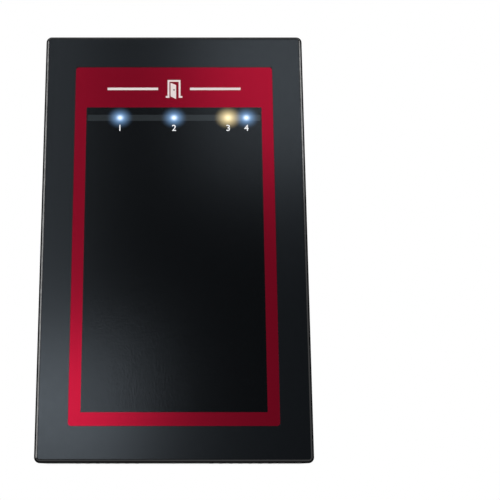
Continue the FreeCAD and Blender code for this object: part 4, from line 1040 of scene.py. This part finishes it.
def add_relay_details():
    """A printed contact diagram and a small vent nub on each relay."""
    lines, nubs = Build(), Build()
    for solid in solids_of("lock_relays"):
        high = solid.high
        for start, end in (
            ((-5, 3), (-5, 6)), ((-5, 6), (-1, 6)), ((0, 3), (3, 6.2)), ((5, 3), (5, 6)), ((3.2, 6), (5, 6)),
            ((-4, -2), (4, -2)), ((-4, -6), (4, -6)), ((-4, -6), (-4, -2)), ((4, -6), (4, -2)),
            ((-4, -6), (4, -2)),
        ):
            spots = [(solid.x + x, solid.z + z) for x, z in (start, end)]
            lines.ribbon(spots, 0.22, high - 0.01, high + 0.012)
        nub = [(0.7, high - 0.1), (0.7, high + 0.12), (0.45, high + 0.2), (0, high + 0.2)]
        nubs.lathe(solid.x + 5.6, solid.z - 7.4, nub, 20)
    lines.done("relay_diagrams", "print_grey")
    nubs.done("relay_nubs", "relay_blue")


def add_crystal(room):
    """A quartz crystal in its low oval can, beside the processor."""
    x, z = 13.0, 61.0
    reach, radius, height = 3.3, 1.85, 3.4
    room.take(x, z, 12.5, 6.0)
    can, base = Build(), Build()
    outline = []
    for side, start in ((1, -90), (-1, 90)):
        for step in range(13):
            turn = math.radians(start + 15 * step)
            outline.append((x + side * reach + radius * math.cos(turn), z + radius * math.sin(turn)))
    can.prism(outline, 0.5, height, 0.35)
    base.prism([(x + (u - x) * 1.08, z + (v - z) * 1.18) for u, v in outline], 0.05, 0.55, 0.1)
    can.done("crystal_can", "shield_tin")
    base.done("crystal_base", "contact_tin")


def add_numbers():
    """A plain number under each lamp."""
    for text, lamp in zip("1234", LAMPS):
        place = (lamp.x / MM, STRIP_Z / MM - LAMP_NUMBER_DROP, FACE_Y)
        add_text(f"number_{text}", text, *place, LAMP_NUMBER, "ink", "cover", weight=0.05)


def add_heading():
    """A door's sign between two thin lines, where the front's heading goes."""
    front = Build(floor=FACE_Y)
    z = HEADING_Z
    height, width, line = 9.2, 6.0, 1.0
    left, right = -width / 2, width / 2
    foot, top = z - height / 2, z + height / 2
    path = [(left - 1.5, foot), (left, foot), (left, top), (right, top), (right, foot), (right + 1.5, foot)]
    front.ribbon(path, line, 0.0, INK)
    leaf = [(left + 1.1, foot + 0.35), (1.1, foot - 1.2), (1.1, top - 2.4), (left + 1.1, top - 1.1)]
    front.prism(leaf, 0.0, INK)
    near, far, thick = 8.6, 36.0, 1.4
    for side in (-1, 1):
        front.ribbon([(side * near, z), (side * far, z)], thick, 0.0, INK)
    front.done("heading", "pale_ink", "cover")
    # The door's knob: a dark printed dot
    knob = Build(floor=FACE_Y)
    knob.disc(0.0, z - 0.6, 0.42, INK, INK + 0.01)
    knob.done("heading_knob", "painted_shade_and_dark_print", "cover")


def rings_round_face(build, profile, steps=8):
    """Rings round the front, at each of the profile's insets from its sides and depths behind its face."""
    wide, tall = (COVER[1].x / MM - CORNER_RADIUS, COVER[1].z / MM - CORNER_RADIUS)
    middles = ((wide, tall), (-wide, tall), (-wide, -tall), (wide, -tall))
    rings = []
    for inset, depth in profile:
        radius = CORNER_RADIUS - inset
        ring = []
        for quarter, (x, z) in enumerate(middles):
            for step in range(steps + 1):
                turn = math.radians(90 * quarter + 90 * step / steps)
                ring.append(build.point(x + radius * math.cos(turn), -depth, z + radius * math.sin(turn)))
        rings.append(ring)
    return rings


def add_polished_edge():
    """A narrow flat rubbed glossy round the front's rounded edge, and a matt dark band of painted shade on
    the outer side of that edge.
    """
    edge = Build(floor=FACE_Y)
    edge.join(rings_round_face(edge, ((1.72, 0.0), (1.68, -0.016), (0.95, 0.249), (0.93, 0.42))))
    edge.done("cover_polished_edge", "polished_edge", "cover", slot="cover_plastic", angle=12)
    rim = Build(floor=FACE_Y)
    reach = EDGE_RADIUS + 0.015
    turns = [math.radians(degrees) for degrees in range(58, 0, -10)]
    profile = [(EDGE_RADIUS - reach * math.cos(turn), EDGE_RADIUS - reach * math.sin(turn)) for turn in turns]
    rim.join(rings_round_face(rim, profile, steps=16))
    rim.done("cover_dark_edge_shade", "dark_edge_shade", "cover", slot="cover_plastic")


def add_screw_socket():
    """A dark disc of painted shade at the bottom of the hexagonal recess in the cover screw's head."""
    low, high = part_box("cover_screw")
    out, foot = -(low.y + high.y) / 2 / MM, low.z / MM
    socket = Build(floor=0.0)
    profile = [(0, 0.45), (0.97, 0.45), (0.97, 0.85), (0, 0.85)]
    socket.turned(profile, 6, lambda u, v, depth: (u, out + v, foot + depth))
    socket.done("screw_socket_shade", "painted_shade_and_dark_print", "screw")


def add_camera():
    """The photograph's camera: level with the box's foot, looking 13 degrees up, framed off centre."""
    data = bpy.data.cameras.new("camera")
    data.sensor_width = SENSOR
    data.lens = FOCAL_PIXELS / PICTURE_PIXELS * SENSOR
    data.shift_x, data.shift_y = FRAME_SHIFT
    data.clip_start = 0.01
    camera = add_object("camera", data)
    camera.location = CAMERA_PLACE
    camera.rotation_euler = (math.radians(90.0 + CAMERA_TILT), 0.0, 0.0)
    scene.camera = camera


def add_area_light(name, place, aim, size, power):
    data = bpy.data.lights.new(name, "AREA")
    data.shape = "RECTANGLE"
    data.size, data.size_y = size
    data.energy = power
    light = add_object(name, data)
    light.location = place
    light.rotation_euler = (Vector(aim) - Vector(place)).to_track_quat("-Z", "Y").to_euler()


def add_lights():
    """Soft boxes in front of the wall, and a strip at each side that draws a line along the front's edge."""
    centre = (0.0, 0.0, 0.0)
    for name, x, z, size, power in (
        ("lower_left", -0.27, 0.0, (0.36, 0.26), 9.5),
        ("upper_right", 0.23, 0.69, (0.35, 0.40), 6.5),
        ("upper_left", -0.26, 0.56, (0.10, 0.80), 3.0),
    ):
        add_area_light(name, (x, BOX_DISTANCE, z), centre, size, power)
    for name, x, z, size, power in (
        ("left_side", -1.25, 0.37, (0.15, 1.15), 4.8),
        ("right_side", 1.25, 0.74, (0.15, 0.45), 1.9),
    ):
        add_area_light(name, (x, STRIP_DISTANCE, z), (0.0, 0.0, z), size, power)


def add_world():
    """White to the camera and in reflections, dim for what it lights."""
    world = bpy.data.worlds.new("studio")
    world.use_nodes = True
    scene.world = world
    studio = Nodes(world.node_tree)
    background = world.node_tree.nodes["Background"]
    level = studio.between(studio.background_rays(), WORLD_LEVEL, 1.0, 0.0, 1.0)
    studio.feed(background.inputs["Strength"], level)
    studio.feed(background.inputs["Color"], WHITE)


def add_floor():
    """Pale floor far below the box, which glows a little where the camera or a reflection sees it."""
    surface = Surface("floor")
    surface.set(
        base_color=(0.92, 0.92, 0.92), roughness=0.9, emission_color=WHITE,
        emission_strength=surface.math("MULTIPLY", surface.background_rays(), FLOOR_GLOW),
    )
    mesh = bpy.data.meshes.new("floor")
    corners = [(x, y, FLOOR_Z) for x, y in corners_of(0.0, 0.0, 2 * FLOOR_REACH, 2 * FLOOR_REACH)]
    mesh.from_pydata(corners, [], [(0, 1, 2, 3)])
    add_object("floor", mesh, "floor")


make_slot_looks()
make_other_looks()
dress_nodes()
add_numbers()
add_heading()
add_polished_edge()
chance = random.Random(SEED)
room = board_room()
add_crystal(room)
add_small_parts(room, chance)
add_tracks(room, chance)
for add_detail in (
    add_board_edge_details, add_board_print, add_chip_leads, add_capacitors, add_inductors,
    add_transformer_details, add_jack_details, add_plug_details, add_lamp_details, add_switch_details,
    add_wireless_details, add_shield_details, add_cell_details, add_dipped_discs, add_relay_details,
    add_screw_socket,
):
    add_detail()
add_floor()
add_world()
add_lights()
add_camera()
scene.view_settings.view_transform = "Standard"
